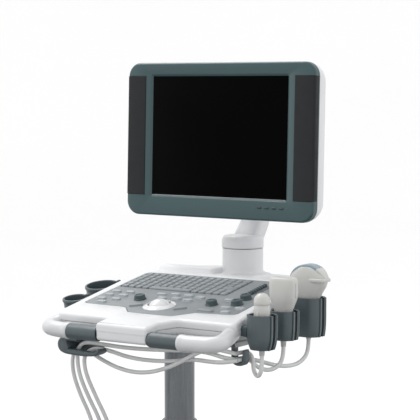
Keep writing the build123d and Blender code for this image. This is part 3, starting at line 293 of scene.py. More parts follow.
def filleted(corners, radius, steps=8):
    """A closed outline with its corners rounded, by one radius or one for each."""
    points = []
    count = len(corners)
    for index, corner in enumerate(corners):
        bend = radius[index] if isinstance(radius, (list, tuple)) else radius
        here = Vector(corner)
        back = (Vector(corners[index - 1]) - here).normalized()
        ahead = (Vector(corners[(index + 1) % count]) - here).normalized()
        half = back.angle(ahead) / 2
        middle = here + (back + ahead).normalized() * (bend / sin(half))
        start = here + back * (bend / tan(half)) - middle
        end = here + ahead * (bend / tan(half)) - middle
        turn = start.angle_signed(end)
        for step in range(steps + 1):
            arm = Matrix.Rotation(-turn * step / steps, 2) @ start
            points.append(tuple(middle + arm))
    return points


def inset_outline(points, amount):
    """A closed anticlockwise outline moved inwards (or outwards, if negative)."""
    moved = []
    count = len(points)
    for index in range(count):
        here = Vector(points[index])
        back, ahead = here - Vector(points[index - 1]), Vector(points[(index + 1) % count]) - here
        if back.length < 1e-9 or ahead.length < 1e-9:
            back = ahead = back if back.length > ahead.length else ahead
        back, ahead = back.normalized(), ahead.normalized()
        tangent = (back + ahead).normalized()
        normal = Vector((-tangent.y, tangent.x))
        moved.append(tuple(here + normal * (amount / max(0.5, normal.dot(Vector((-ahead.y, ahead.x)))))))
    return moved


def rounded_edge(radius, top, steps=5):
    """(inset, height) pairs up round an outside edge that ends at a height."""
    return [(radius * (1 - cos(pi / 2 * step / steps)), top - radius * (1 - sin(pi / 2 * step / steps)))
            for step in range(steps + 1)]


def on_deck(u, v, height=0.0, turn=0.0):
    """The place of a point over the sloping deck, and a turn about the deck's normal, in mm."""
    deck = Matrix.Translation(Vector((0, -64, 844)) * MM) @ Matrix.Rotation(DECK_SLOPE, 4, "X")
    return (deck @ Matrix.Translation(Vector((u, v, height)) * MM)
            @ Matrix.Rotation(radians(turn), 4, "Z") @ Matrix.Scale(MM, 4))


def on_screen(u=0.0, v=0.0, height=0.0):
    """The place of a point over the screen, x to the right, y up and z to the user, in mm."""
    tilt = radians(90 - 1.8)
    screen = Matrix.Translation(Vector((0, SCREEN_Y, SCREEN_Z)) * MM) @ Matrix.Rotation(tilt, 4, "X")
    return screen @ Matrix.Translation(Vector((u, v, height)) * MM) @ Matrix.Scale(MM, 4)


def upright(x=0.0, y=0.0, z=0.0, turns=""):
    """A place in the frame, in mm, turned a quarter about each axis named."""
    place = Matrix.Translation(Vector((x, y, z)) * MM)
    for axis in turns:
        place = place @ Matrix.Rotation(pi / 2, 4, axis)
    return place @ Matrix.Scale(MM, 4)


def add_puck(bm, outline, levels, place, cap_first=True, cap_last=True):
    """A body of one outline through (inset, height) levels, put in its place."""
    rings = []
    for inset, height in levels:
        ring = inset_outline(outline, inset) if inset else outline
        rings.append([place @ Vector((x, y, height)) for x, y in ring])
    return add_loft(bm, rings, cap_first, cap_last)


def add_revolve(bm, profile, place, segments=48, hollow=False):
    """A body turned about z from (radius, height) points, capped or, if hollow, closed as a ring."""
    rings = [[place @ Vector((radius * cos(2 * pi * step / segments),
                              radius * sin(2 * pi * step / segments), height))
              for step in range(segments)] for radius, height in profile]
    rows = add_loft(bm, rings, cap_first=not hollow, cap_last=not hollow)
    if hollow:
        for index in range(segments):
            after = (index + 1) % segments
            bm.faces.new((rows[-1][index], rows[-1][after], rows[0][after], rows[0][index]))
    return rows


def mesh_of_curve(curve):
    """A curve's mesh, with the curve and its object cleared away."""
    holder = bpy.data.objects.new("holder", curve)
    mesh = bpy.data.meshes.new_from_object(holder)
    bpy.data.objects.remove(holder)
    bpy.data.curves.remove(curve)
    return mesh


def spline_points(points, samples=8, order=3):
    """Points along the smooth NURBS line that a route's points steer."""
    curve = bpy.data.curves.new("route", "CURVE")
    curve.dimensions = "3D"
    curve.resolution_u = samples
    spline = curve.splines.new("NURBS")
    spline.points.add(len(points) - 1)
    for point, place in zip(spline.points, points):
        point.co = (*place, 1)
    spline.order_u = order
    spline.use_endpoint_u = True
    mesh = mesh_of_curve(curve)
    line = [vertex.co.copy() for vertex in mesh.vertices]
    bpy.data.meshes.remove(mesh)
    return line


def direction(line, index):
    """The way a line of points runs at one of them."""
    return (line[min(index + 1, len(line) - 1)] - line[max(index - 1, 0)]).normalized()


def add_tube(bm, line, radii, segments):
    """A round tube along a line, with a radius for each point."""
    rings = []
    across = direction(line, 0).orthogonal().normalized()
    for index, (here, radius) in enumerate(zip(line, radii)):
        ahead = direction(line, index)
        across = (across - ahead * across.dot(ahead)).normalized()
        up = ahead.cross(across)
        rings.append([here + across * (radius * cos(2 * pi * step / segments))
                      + up * (radius * sin(2 * pi * step / segments))
                      for step in range(segments)])
    return add_loft(bm, rings)


# --- Probe cables ------------------------------------------------------------------------
# One run from the probe's sleeve to the right hook, and
# one from there under the console, over the left hook and down to its plug on the cart.

CABLE_WIDTH = 0.0075
HOOK_ENDS = ((189, -102, 779), (194.8, -107, 768.2), (186.9, -102, 769))
PROBE_RUNS = (
    ((235, -90, 778), (235, -90, 757), (229, -87, 743), (218, -80, 739), (208, -74, 748),
     (206, -72, 764), (200, -72, 777), (191.5, -82, 780), HOOK_ENDS[0]),
    ((235, -18, 784), (235, -18, 764), (228, -27, 748), (217, -41, 743), (205, -56, 750),
     (197.5, -67, 763.5), (195, -80, 768.8), HOOK_ENDS[1]),
    ((235, 70, 786), (235, 70, 766), (231.4, 59.6, 750), (224, 38, 741), (211.5, 2, 744),
     (197, -45, 760), (188, -74, 768), (187, -92, 768.5), HOOK_ENDS[2]),
)
LONG_RUNS = (
    (HOOK_ENDS[0], (172, -112, 784), (140, -106, 784), (100, -95, 770), (68, -104, 750),
     (30, -108, 734), (-10, -110, 726), (-52, -112, 729), (-98, -112, 743), (-132, -112, 761),
     (-149.8, -112, 758.5), (-165, -110, 746), (-170, -104, 712), (-162, -92, 668),
     (-147, -79, 625), (-136, -69, 560), (-132.5, -66, 520), (-127.5, -62.5, 473),
     (-126, -62, 385), (-125, -62, 280), (-125, -62, 172), (-125, -6, 172), (-125, -6, 262)),
    (HOOK_ENDS[1], (178, -120, 765), (140, -104, 760), (92, -88, 758), (48, -98, 751),
     (0, -107, 750), (-36, -115, 754), (-64, -120, 761.5), (-90, -123.5, 766),
     (-108, -125.5, 763), (-119, -126.5, 755), (-125, -127, 743), (-125, -122, 716),
     (-113, -105, 668), (-101, -88, 625), (-89, -72, 560), (-82, -68, 520), (-72, -63, 473),
     (-60, -62, 385), (-55, -62, 280), (-55, -62, 172), (-55, -6, 172), (-55, -6, 262)),
    (HOOK_ENDS[2], (174, -112, 771), (135, -93, 772.5), (100, -84, 773), (62, -94, 772),
     (10, -105, 770), (-38, -114, 770), (-80, -122, 773), (-117, -128, 776), (-132, -128.5, 769),
     (-140, -128, 756), (-141, -123, 716), (-131, -106, 668), (-119, -88, 625), (-108, -73, 560),
     (-105, -69, 520), (-99, -64.5, 473), (-92, -62, 385), (-90, -62, 280), (-90, -62, 172),
     (-90, -6, 172), (-90, -6, 262)),
)


def cable_piece(name, run):
    """A cable's jacket as a mesh tube on the route's spline, and that spline's points."""
    line = spline_points(metres(run), samples=10)
    bm = bmesh.new()
    add_tube(bm, line, [CABLE_WIDTH / 2] * len(line), 16)
    return show(name, bm, 60, None, "cable_grey", CABLE), line


for number, (probe_run, long_run) in enumerate(zip(PROBE_RUNS, LONG_RUNS), start=1):
    piece, line = cable_piece(f"probe_cable_{number}", probe_run)
    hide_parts(f"cable_{number}_upper")
    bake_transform(piece)
    piece, line = cable_piece(f"long_cable_{number}", long_run)
    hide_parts(f"cable_{number}_upper", f"cable_{number}_lower")
    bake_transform(piece)


# --- Console -----------------------------------------------------------------------------
# Its plan is drawn in the frame's x and y, in mm. The deck slopes up to a ridge, then is level.

RIDGE_Y = -64 + 33.5 / tan(DECK_SLOPE)
CONSOLE_PLAN = [(-172, -150), (-52, -150), (-52, -186), (58, -186), (61, -152), (84, -126),
                (203, -126), (190, -40), (188, 140), (176, 196), (76, 206), (50, 246),
                (0, 262), (-50, 246), (-76, 206), (-176, 196), (-188, 140)]
CONSOLE_BENDS = [18, 5, 3.5, 5, 12, 22, 12, 40, 40, 20, 14, 24, 40, 24, 14, 20, 40]
PANEL_OUTLINE = filleted([(-162, 194), (-158, -22), (-58, -24), (-34, -50), (60, -50), (92, -20),
                          (172, -12), (168, 197)], 11, 6)


def deck_height(y):
    return 844 + (min(y, RIDGE_Y) + 64) * tan(DECK_SLOPE)


def in_metres(bm):
    bmesh.ops.scale(bm, vec=(MM, MM, MM), verts=bm.verts)


def fill_between(bm, outer, inner):
    """Faces between two rings of vertices."""
    edges = []
    for row in (outer, inner):
        for index, vertex in enumerate(row):
            after = row[(index + 1) % len(row)]
            edges.append(next(edge for edge in vertex.link_edges if edge.other_vert(vertex) is after))
    bmesh.ops.triangle_fill(bm, use_beauty=True, edges=edges)


def build_deck():
    """The deck's cover, drawn level, cut along the ridge and lifted on to the slope."""
    plan = filleted(CONSOLE_PLAN, CONSOLE_BENDS, 7)
    bm = bmesh.new()
    levels = [(4, -14.4), (0.8, -14.4), (0, -13.6)] + rounded_edge(6, 0, 7)
    cover = add_puck(bm, plan, levels, Matrix(), False, False)
    hole = [[Vector((x, -64 + y * cos(DECK_SLOPE), height)) for x, y in inset_outline(PANEL_OUTLINE, inset)]
            for inset, height in ((-1.6, 0), (-0.9, -0.3), (-0.5, -1.0), (-0.5, -5), (6, -5))]
    fill_between(bm, cover[-1], add_loft(bm, hole, False, False)[0])
    bmesh.ops.bisect_plane(bm, geom=bm.verts[:] + bm.edges[:] + bm.faces[:],
                           plane_co=(0, RIDGE_Y, 0), plane_no=(0, 1, 0))
    for vertex in bm.verts:
        vertex.co.z += deck_height(vertex.co.y)
    in_metres(bm)
    return bm


def build_tub():
    """The tub under the deck: its rim follows the deck, and its bottom rises to the back."""
    plan = filleted(CONSOLE_PLAN, CONSOLE_BENDS, 7)
    rings = [[Vector((x, y, deck_height(y) - drop)) for x, y in inset_outline(plan, inset)]
             for inset, drop in ((4, 15.2), (1.2, 15.2), (0.5, 15.8))]
    rings += [[Vector((x, y, 803.5 + (y + 150) * 0.07 - lift)) for x, y in inset_outline(plan, 0.5 + inset)]
              for inset, lift in rounded_edge(7, 0, 5)]
    bm = bmesh.new()
    add_loft(bm, rings, cap_first=False)
    in_metres(bm)
    return bm


show("deck_cover", build_deck(), 35, "console", "white_shell", WHITE, "console_deck")
show("console_tub", build_tub(), 35, "console", "white_shell", WHITE, "console_base")

# The nose's belly drops below the rest, round the column's head
bm = bmesh.new()
nose_plan = filleted([(-52, -186), (58, -186), (60, -150), (60, 60), (-52, 60)], [3.5, 5, 12, 12, 12], 6)
nose_levels = [(0.5, 812)] + [(0.5 + inset, 792 - lift) for inset, lift in rounded_edge(6, 0, 5)]
add_puck(bm, nose_plan, nose_levels, upright())
show("nose_belly", bm, 35, "console", "white_shell", WHITE)

# A raised hood behind the keyboard, left of the turret, and a low moulded step right of it
bm = bmesh.new()
hood_plan = filleted([(-170, 160), (-26, 156), (-26, 232), (-56, 228), (-84, 203), (-168, 193)], 14, 5)
add_puck(bm, hood_plan, [(-2, -1), (0, 0.6), (1.6, 3), (4, 6.4), (6.5, 8.8), (9, 10.1), (11.5, 10.5)],
         upright(0, 0, DECK_LEVEL))
show("rear_hood", bm, 40, "console", "white_shell", WHITE)

bm = bmesh.new()
step_plan = filleted([(66, 150), (170, 150), (168, 190), (66, 196)], [4, 8, 12, 4], 5)
add_puck(bm, step_plan, [(-1.2, -1), (-0.4, 0.6)] + rounded_edge(2, 4.6, 4), upright(0, 0, DECK_LEVEL))
show("deck_step", bm, 35, "console", "white_shell", WHITE)

bm = bmesh.new()
add_revolve(bm, [(44.5, -0.5), (44.5, 0.5), (43.2, 1.3), (41.6, 2.2), (40.4, 4.5), (40, 8), (40, 47.4),
                 (39.6, 48.1), (37, 48.3), (37, 46)], upright(0, TURRET_Y, 877.5), 72)
show("turret_post", bm, 35, "console", "white_shell", WHITE)


# --- Key panel and controls --------------------------------------------------------------

KEYBOARD_MIDDLE = (-36, 140)
KEY_PITCH, KEY_WIDTH = 16, 13.4
WELL = rounded_ring(244, 100, 4, 5, KEYBOARD_MIDDLE)
SLIDERS = [(128, 108 + 7.6 * index) for index in range(8)]


def build_panel():
    """The key panel's top, with a well for the keyboard."""
    bm = bmesh.new()
    edge = [(0.4, -4)] + [(0.4 + inset, lift) for inset, lift in rounded_edge(0.8, -0.1, 3)]
    panel = add_puck(bm, PANEL_OUTLINE, edge, on_deck(0, 0), False, False)
    well_levels = [(-0.7, -0.1), (-0.2, -0.3), (0, -0.8), (0, -3), (0.5, -3)]
    fill_between(bm, panel[-1], add_puck(bm, WELL, well_levels, on_deck(0, 0), cap_first=False)[0])
    return bm


show("key_panel_top", build_panel(), 35, "console", "grey_panel", PANEL_GREY, "key_panel")

bm = bmesh.new()
add_puck(bm, rounded_ring(242.6, 98.6, 3.4, 5, KEYBOARD_MIDDLE), [(0, -3.2), (0, -2.9)], on_deck(0, 0))
show("keyboard_well", bm, 40, "console", "grey_panel", SLATE)

bm = bmesh.new()
for slot_u, slot_v in SLIDERS:
    add_puck(bm, rounded_ring(30, 2.2, 1.0, 3), [(0, -0.6), (0, 0.12), (0.25, 0.2)],
             on_deck(slot_u, slot_v))
show("slider_slots", bm, 40, "console", "black_plastic", BLACK)


def keyboard_caps():
    """Every keyboard cap as (row, column, u, v, width)."""
    caps = []
    for row in range(6):
        column = 0
        while column < 15:
            span = {(0, 4): 6, (2, 13): 2}.get((row, column), 1)
            caps.append((row, column, KEYBOARD_MIDDLE[0] + KEY_PITCH * (column - 7 + (span - 1) / 2),
                         KEYBOARD_MIDDLE[1] + KEY_PITCH * (row - 2.5), KEY_WIDTH + KEY_PITCH * (span - 1)))
            column += span
    return caps


def text_mesh(characters):
    """Plain printed characters, each as (text, place, size in mm), as one flat mesh."""
    bm = bmesh.new()
    for text, place, size in characters:
        curve = bpy.data.curves.new("legend", "FONT")
        curve.body = text
        curve.size = size
        curve.align_x, curve.align_y = "CENTER", "CENTER"
        curve.resolution_u = 2
        mesh = mesh_of_curve(curve)
        mesh.transform(place)
        bm.from_mesh(mesh)
        bpy.data.meshes.remove(mesh)
    mesh = bpy.data.meshes.new("legends")
    bm.to_mesh(mesh)
    bm.free()
    return mesh


KEY_ROWS = ("", "ZXCVBNM,./-=", "ASDFGHJKL;'", "QWERTYUIOP[]", "1234567890-=", "")
KEY_TOP = 1.62
bm = bmesh.new()
legends = []
for row, column, cap_u, cap_v, width in keyboard_caps():
    add_puck(bm, rounded_ring(width, KEY_WIDTH, 1.8, 3),
             [(0, -1.4), (0, -0.9), (0.35, 0.1), (0.75, 0.95), (1.1, 1.35), (1.7, 1.55)],
             on_deck(cap_u, cap_v), cap_first=False)
    if 1 <= column <= len(KEY_ROWS[row]) and width == KEY_WIDTH:
        legends.append((KEY_ROWS[row][column - 1], on_deck(cap_u - 1.6, cap_v + 1.6, KEY_TOP), 5.5))
    elif row == 5:
        text = f"F{column + 1}" if column < 12 else "*"
        legends.append((text, on_deck(cap_u, cap_v + 0.5, KEY_TOP), 4.6))
show("keyboard_caps", bm, 50, "keyboard_keys", "key_grey", KEYBOARD_GREY, "keyboard_keys")
place_piece("key_legends", text_mesh(legends), "keyboard_keys", LEGEND)

LEFT_OVALS = [(-138, 9), (-138, 33), (-138, 57), (-107, 12), (-107, 35), (-107, 58), (-124, -10)]
RIGHT_OVALS = [(-37, 62), (-22, 41), (-10, 68), (7, 45), (20, 67), (35, 41), (49, 62),
               (132, 19), (160, 22), (146, -4), (112, 62)]


def build_ovals(places, length=20.0, width=9.5):
    """Soft-topped oval keys, each as (u, v) or (u, v, turn)."""
    bm = bmesh.new()
    outline = rounded_ring(length, width, width / 2 - 0.01, 8)
    for u, v, *turn in places:
        place = on_deck(u, v, 0, *turn)
        add_puck(bm, outline, [(-0.9, -0.5), (-0.9, 0.25), (-0.3, 0.5), (0, 0.7), (0.05, 1.9), (0.35, 2.7),
                               (0.95, 3.2), (1.9, 3.5), (3.2, 3.62), (4.2, 3.66)], place, cap_first=False)
    return bm


for body, places in (("left_keys", LEFT_OVALS), ("right_keys", RIGHT_OVALS)):
    show(f"{body}_caps", build_ovals(places), 50, body, "key_grey", KEY_GREY, body)
show("set_keys_caps", build_ovals([(-44, -12, 35), (50, -8, 35)], 26, 8.2), 50, "set_keys",
     "key_grey", KEYBOARD_GREY, "set_keys")
show("freeze_key_cap", build_ovals([(104, -6)], 34, 11), 50, "freeze_key",
     "key_grey", KEYBOARD_GREY, "freeze_key")


def build_knob(radius=11.0, height=8.8, facets=12):
    """A knob with a skirt, shallow facets and a chamfered, dished top."""
    bm = bmesh.new()
    steps = facets * 4
    rings = []
    for share, level, scallop in (
            (1.06, 0.4, 0), (1.08, 0.8, 0), (1.06, 1.6, 0), (0.98, 2.2, 0.3), (0.96, 3.0, 1),
            (0.93, height - 1.8, 1), (0.9, height - 0.9, 1), (0.84, height - 0.2, 0.6),
            (0.78, height, 0.2), (0.66, height - 0.1, 0), (0.6, height - 0.7, 0), (0.2, height - 0.9, 0)):
        ring = []
        for step in range(steps):
            angle = 2 * pi * step / steps
            reach = radius * (share - scallop * 0.045 * (0.5 - 0.5 * cos(facets * angle)) ** 2)
            ring.append(Vector((reach * cos(angle), reach * sin(angle), level)))
        rings.append(ring)
    add_loft(bm, rings, cap_first=False)
    pointer = [Vector(point) for point in ((-0.5, 3.4, height - 0.55), (0.5, 3.4, height - 0.55),
                                           (0.5, 8.0, height + 0.15), (-0.5, 8.0, height + 0.15))]
    top = [point + Vector((0, 0, 0.3)) for point in pointer]
    add_loft(bm, [pointer, top], cap_first=False)
    return bm


for name, (u, v, turn) in {"left": (-62, 26, 20), "centre": (93, 32, -35), "right_front": (139, 45, 60),
                           "right_rear": (136, 80, 15)}.items():
    bm = build_knob()
    bmesh.ops.transform(bm, matrix=on_deck(u, v, 0, turn), verts=bm.verts)
    show(f"knob_{name}_cap", bm, 32, f"knob_{name}", "dark_knob", KNOB_DARK, f"knob_{name}")

bm = bmesh.new()
for slot_u, slot_v in SLIDERS:
    add_puck(bm, rounded_ring(7.4, 5.6, 1.2, 3),
             [(0, 0.5), (0, 1.4), (0.3, 2.6), (0.6, 4.0), (1.0, 4.9), (1.6, 5.2)],
             on_deck(slot_u, slot_v), cap_first=False)
    add_puck(bm, rounded_ring(0.8, 4.2, 0.3, 2), [(0, 5.0), (0, 5.5)], on_deck(slot_u, slot_v))
show("slider_caps", bm, 50, "gain_sliders", "dark_knob", KNOB_DARK, "gain_sliders")


# --- Trackball ---------------------------------------------------------------------------

bm = bmesh.new()
add_revolve(bm, [(31.0, -0.3), (31.0, 0.3), (30.4, 0.9), (28.8, 1.7), (26.6, 2.6), (24.6, 3.7), (23.0, 4.6),
                 (22.4, 4.7), (22.1, 4.2), (22.6, -1.0), (23.8, -3.4), (25.6, -4), (30.4, -1.2)],
            on_deck(0, 0), 72, hollow=True)
show("trackball_bezel", bm, 40, "console", "white_gloss", WHITE_GLOSS, "trackball_ring")
bm = bmesh.new()
bmesh.ops.create_uvsphere(bm, u_segments=64, v_segments=40, radius=23)
bmesh.ops.transform(bm, matrix=on_deck(0, 0, -10.5), verts=bm.verts)
show("trackball_ball", bm, 80, "trackball", "white_gloss", WHITE_GLOSS, "trackball")


# --- Front handle ------------------------------------------------------------------------

for name, side, corner, low, high in (("left", -1, -174, -121, -52.4), ("right", 1, 198, 59.8, 124)):
    start = low if side < 0 else high
    line = spline_points(metres([
        (start - side * 2, -175, 802), (start + side * 18, -175, 802.3), (corner - side * 24, -175.5, 803),
        (corner - side * 3, -173, 804.5), (corner + side * 1, -156, 807), (corner - side * 4, -136, 810.5),
        (corner - side * 10, -112, 815)]), 14, 4)
    radii = []
    run = 0
    for index, point in enumerate(line):
        run += (point - line[index - 1]).length if index else 0
        flare = max(0, 1 - run / 0.012)
        radii.append((14.2 + 1.0 * flare * (2 - flare) if run > 0.0012 else 14.0) * MM)
    bm = bmesh.new()
    add_tube(bm, line, radii, 40)
    # The tubes take the handle white, darkened as painted shade
    show(f"handle_tube_{name}", bm, 50, "console", "white_shell", HANDLE_WHITE_PAINTED_SHADE, "handle_bars")
    profile = [(10.5, 0), (12.4, 0), (13.1, 0.4), (13.5, 1.2), (13.7, 2.5), (13.75, 8)]
    span = high - low
    along_bar = upright(low, -175, 802, "Y")
    bm = bmesh.new()
    add_revolve(bm, profile + [(radius, span - run) for radius, run in reversed(profile)], along_bar)
    show(f"handle_grip_{name}", bm, 35, "console", "slate", SLATE, "handle_grips")
    before, after = (3, 0.2) if side < 0 else (1.6, 3)
    bm = bmesh.new()
    add_revolve(bm, [(9, -before), (12.4, -before), (12.4, span + after), (9, span + after)], along_bar, 36)
    show(f"handle_core_{name}", bm, 35, "console", "slate", BLACK)


# --- Probe holders -----------------------------------------------------------------------

def sleeve_outline(width, depth, wall, slit, lip):
    """A sleeve's C-shaped section, open to the right between two thickened lips."""
    radius = min(width, depth) * 0.42
    outer = rounded_ring(width, depth, radius, 8)
    inner = rounded_ring(width - 2 * wall, depth - 2 * wall, radius - wall * 0.8, 8)
    right = width / 2
    half = slit / 2
    mouth = [(right + 0.8, half + 1.2), (right + 1.2, half + 3), (right + 0.4, half + 5)]
    back = [(right - lip, half + 4.5), (right - lip - 0.3, half + 1.2), (right - lip + 1, half)]
    return ([(right - 1, half)] + mouth + outer + [(x, -y) for x, y in reversed(mouth)]
            + [(right - 1, -half)] + [(x, -y) for x, y in reversed(back)] + list(reversed(inner)) + back)


HOLDERS = ((-90, 789, 850, (50, 48), (38, 36)), (-18, 797, 849, (52, 46), (46, 40)),
           (70, 792, 863, (60, 50), (54, 46)))
for number, (y, low, high, top, foot) in enumerate(HOLDERS, start=1):
    bm = bmesh.new()
    rings = []
    for share, height in ((0.0, low + 0.3), (0.35, low + 5), (0.72, low + 14), (0.92, low + 24),
                          (1.0, low + 36), (1.0, high - 10), (1.0, high - 0.3)):
        width = foot[0] + (top[0] - foot[0]) * share
        depth = foot[1] + (top[1] - foot[1]) * share
        rings.append(metres((PROBE_X + u, y + v, height)
                            for u, v in sleeve_outline(width, depth, 4, 12, 6.5)))
    add_loft(bm, rings)
    sleeve = show(f"probe_sleeve_{number}", bm, 38, "console", "slate", SLATE, f"probe_holder_{number}")
    edge = sleeve.modifiers.new("soft_edges", "BEVEL")
    edge.width, edge.segments, edge.limit_method, edge.angle_limit = 0.0014, 3, "ANGLE", radians(40)
    # The arm that carries the sleeve, with a boss
    bm = bmesh.new()
    left = PROBE_X - top[0] / 2
    rings = [metres((run, y + v * grow, low + 30 + u * grow) for u, v in rounded_ring(20, 24, 5, 5))
             for run, grow in ((185, 0.92), (left - 8, 0.92), (left - 3, 1.0), (left + 1.8, 1.12))]
    add_loft(bm, rings)
    show(f"sleeve_arm_{number}", bm, 40, "console", "slate", SLATE)


# --- Probes ------------------------------------------------------------------------------

def superellipse(width, depth, power, steps=40):
    """An oval outline that nears a rectangle as its power rises."""
    ring = []
    for step in range(steps):
        c, s = cos(2 * pi * step / steps), sin(2 * pi * step / steps)
        ring.append((width / 2 * abs(c) ** (2 / power) * (1 if c > 0 else -1),
                     depth / 2 * abs(s) ** (2 / power) * (1 if s > 0 else -1)))
    return ring


# For each probe its y, and its body as (z, width, depth, squareness) levels
PROBE_BODIES = (
    (-90, [(796, 13, 13, 2), (803, 15.5, 15.5, 2), (812, 20, 20, 2), (830, 25.5, 25.5, 2),
        (846, 28, 28, 2.1), (858, 28.6, 28.6, 2.1), (864, 28.2, 28.2, 2), (865.2, 27.0, 27.0, 2),
        (866.2, 27.0, 27.0, 2), (867.2, 28.8, 28.8, 2), (872, 29, 29, 2), (877.5, 27.4, 27.4, 2),
        (882, 22.8, 22.8, 2), (885.2, 16, 16, 2), (886.6, 9, 9, 2), (887, 3, 3, 2)]),
    (-18, [(802, 14, 14, 2), (810, 18, 16, 2.1), (820, 24.5, 20, 2.3), (834, 28.5, 22, 2.5),
        (848, 33, 23.5, 2.8), (858, 40, 25.8, 3.0), (864, 45, 27.6, 3.2), (869, 48.6, 28.8, 3.4),
        (876, 50.4, 29, 3.6), (890, 50.8, 29, 3.8), (900, 50.4, 28.4, 3.8), (904.4, 48.6, 27, 3.6),
        (906.3, 45.5, 24.6, 3.4), (907, 40, 20, 3.2)]),
    (70, [(804, 14, 14, 2), (812, 19, 17, 2.1), (822, 26, 22, 2.3), (836, 31.5, 25, 2.5),
        (850, 37, 27.4, 2.6), (862, 44, 29.4, 2.6), (872, 54.5, 31, 2.7), (880, 65, 32.2, 2.8),
        (887, 71.5, 33, 2.8), (893, 73.8, 33, 2.7), (899, 72.4, 32.6, 2.6), (905, 67.4, 31.4, 2.5),
        (910.5, 58, 29.8, 2.4), (914.5, 47, 28.4, 2.3), (917.4, 33, 26.6, 2.3), (918.6, 18, 20, 2)]),
)
for number, (y, levels) in enumerate(PROBE_BODIES, start=1):
    bm = bmesh.new()
    add_loft(bm, [metres((PROBE_X + u, y + v, height) for u, v in superellipse(width, depth, power))
                  for height, width, depth, power in levels])
    show(f"probe_body_{number}", bm, 50, f"probe_{number}", "probe_white", PROBE_WHITE, f"probe_{number}")
    # The ribbed sleeve that the cable leaves by
    foot = PROBE_RUNS[number - 1][0][2]
    reach = levels[0][0] + 5 - foot
    sleeve_profile = [(CABLE_WIDTH * 500 + 0.7, foot + 0.2), (CABLE_WIDTH * 500 + 1.0, foot + 0.8)]
    for step in range(1, 25):
        share = step / 24
        ribbed = 0.35 * (step % 2) * (1 - share) if share < 0.75 else 0
        sleeve_profile.append((4.8 + 3.0 * share ** 1.6 - ribbed, foot + 1.5 + (reach - 1.5) * share))
    bm = bmesh.new()
    add_revolve(bm, sleeve_profile, upright(PROBE_X, y, 0), 28)
    show(f"strain_relief_{number}", bm, 35, f"probe_{number}", "cable_grey", SLEEVE)

# The acoustic windows: a blue-grey band along the broad probe's curved crown, a flat one on the block
bm = bmesh.new()
rings = []
LENS_STEPS = 18
LENS_REACH = radians(62)
for step in range(25):
    angle = radians(-62 + 124 * step / 24)
    reach = 1 - abs(step - 12) / 12
    depth = 13 + 13 * min(1, reach * 2.2) ** 0.6
    crown = Vector((37.6 * sin(angle) / sin(LENS_REACH), 0,
                    898 + 24.6 * (cos(angle) - cos(LENS_REACH)) / (1 - cos(LENS_REACH))))
    inward = Vector((-sin(angle * 0.75), 0, -cos(angle * 0.75)))
    rings.append([(Vector((PROBE_X, 71.5 + u, 0)) + crown + inward * (3.1 - v)) * MM
                  for u, v in rounded_ring(depth, 5.4, 2.4, 5)])
add_loft(bm, rings[:LENS_STEPS + 1])
show("lens_3", bm, 45, "probe_3", "probe_white", PROBE_LENS)
bm = bmesh.new()
add_loft(bm, rings[LENS_STEPS:])
add_puck(bm, rounded_ring(34, 35.4, 9, 6),
         [(1.4, 891.5), (0.3, 892), (0, 893), (0, 896), (0.5, 897.2), (2, 898)], upright(256.6, 70, 0))
show("probe_shoulder_3", bm, 40, "probe_3", "probe_white", PROBE_WHITE)
bm = bmesh.new()
add_puck(bm, rounded_ring(40, 17, 5, 5), [(0, 906.2), (0, 906.8), (0.6, 907.2), (2.2, 907.4)],
         upright(PROBE_X, -18, 0))
show("lens_2", bm, 40, "probe_2", "probe_white", SLEEVE)

# Orientation ridges on the probes' sides
for number, x, y, low, high, width, turns in ((1, 235, -104.2, 838, 856, 3.4, "XZ"),
                                              (2, 260.2, -18, 872, 898, 5.5, "Y")):
    bm = bmesh.new()
    add_puck(bm, rounded_ring(high - low, width, 1.6, 5), [(0, -3), (0, 0.6), (0.5, 1.3), (1.3, 1.6)],
             upright(x, y, (low + high) / 2, turns))
    show(f"probe_ridge_{number}", bm, 40, f"probe_{number}", "probe_white", PROBE_WHITE)


# --- Cups --------------------------------------------------------------------------------

for name, cup_v, rim, radius, depth in (("small", 49, -17, 23.5, 50), ("large", 135, -15, 32.5, 62)):
    place = on_deck(-235, cup_v, rim)
    taper = tan(radians(2))
    inner = radius - 2.5
    profile = [(2, -depth), (radius - depth * taper - 4, -depth), (radius - depth * taper - 1.2, -depth + 1),
               (radius - (depth - 4) * taper, -depth + 4), (radius - 8 * taper, -8), (radius, -6.4),
               (radius + 1.3, -5.2), (radius + 1.7, -3.2), (radius + 1.6, -1.2), (radius + 0.9, 0.1),
               (radius - 0.3, 0.6), (inner + 0.6, 0.3), (inner + 0.1, -0.6), (inner, -2),
               (inner - 0.2, -depth + 5),
               (inner - 2, -depth + 3), (2, -depth + 3)]
    bm = bmesh.new()
    add_revolve(bm, profile, place, 64)
    show(f"cup_body_{name}", bm, 38, "console", "slate", SLATE, f"cup_{name}")
    bm = bmesh.new()
    reach = 235 - radius - 184
    end = reach / 2 + 3
    outline = filleted([(-end, -9), (end, -12), (end, 12), (-end, 9)], 2.5, 4)
    add_puck(bm, outline, [(1.2, -13), (0, -12), (0, -5.2), (1.2, -4)],
             on_deck(-184 - reach / 2, cup_v, rim))
    show(f"cup_bracket_{name}", bm, 38, "console", "slate", SLATE)
    # A sprung clip on the rim
    bm = bmesh.new()
    add_puck(bm, rounded_ring(6, 9, 1.6, 4), [(0, -7), (0, 3.2), (0.8, 4.2), (1.8, 4.5)],
             on_deck(-235 + radius * 0.72, cup_v + radius * 0.72, rim))
    show(f"cup_clip_{name}", bm, 38, "console", "slate", SLATE)


# --- Cable hooks -------------------------------------------------------------------------

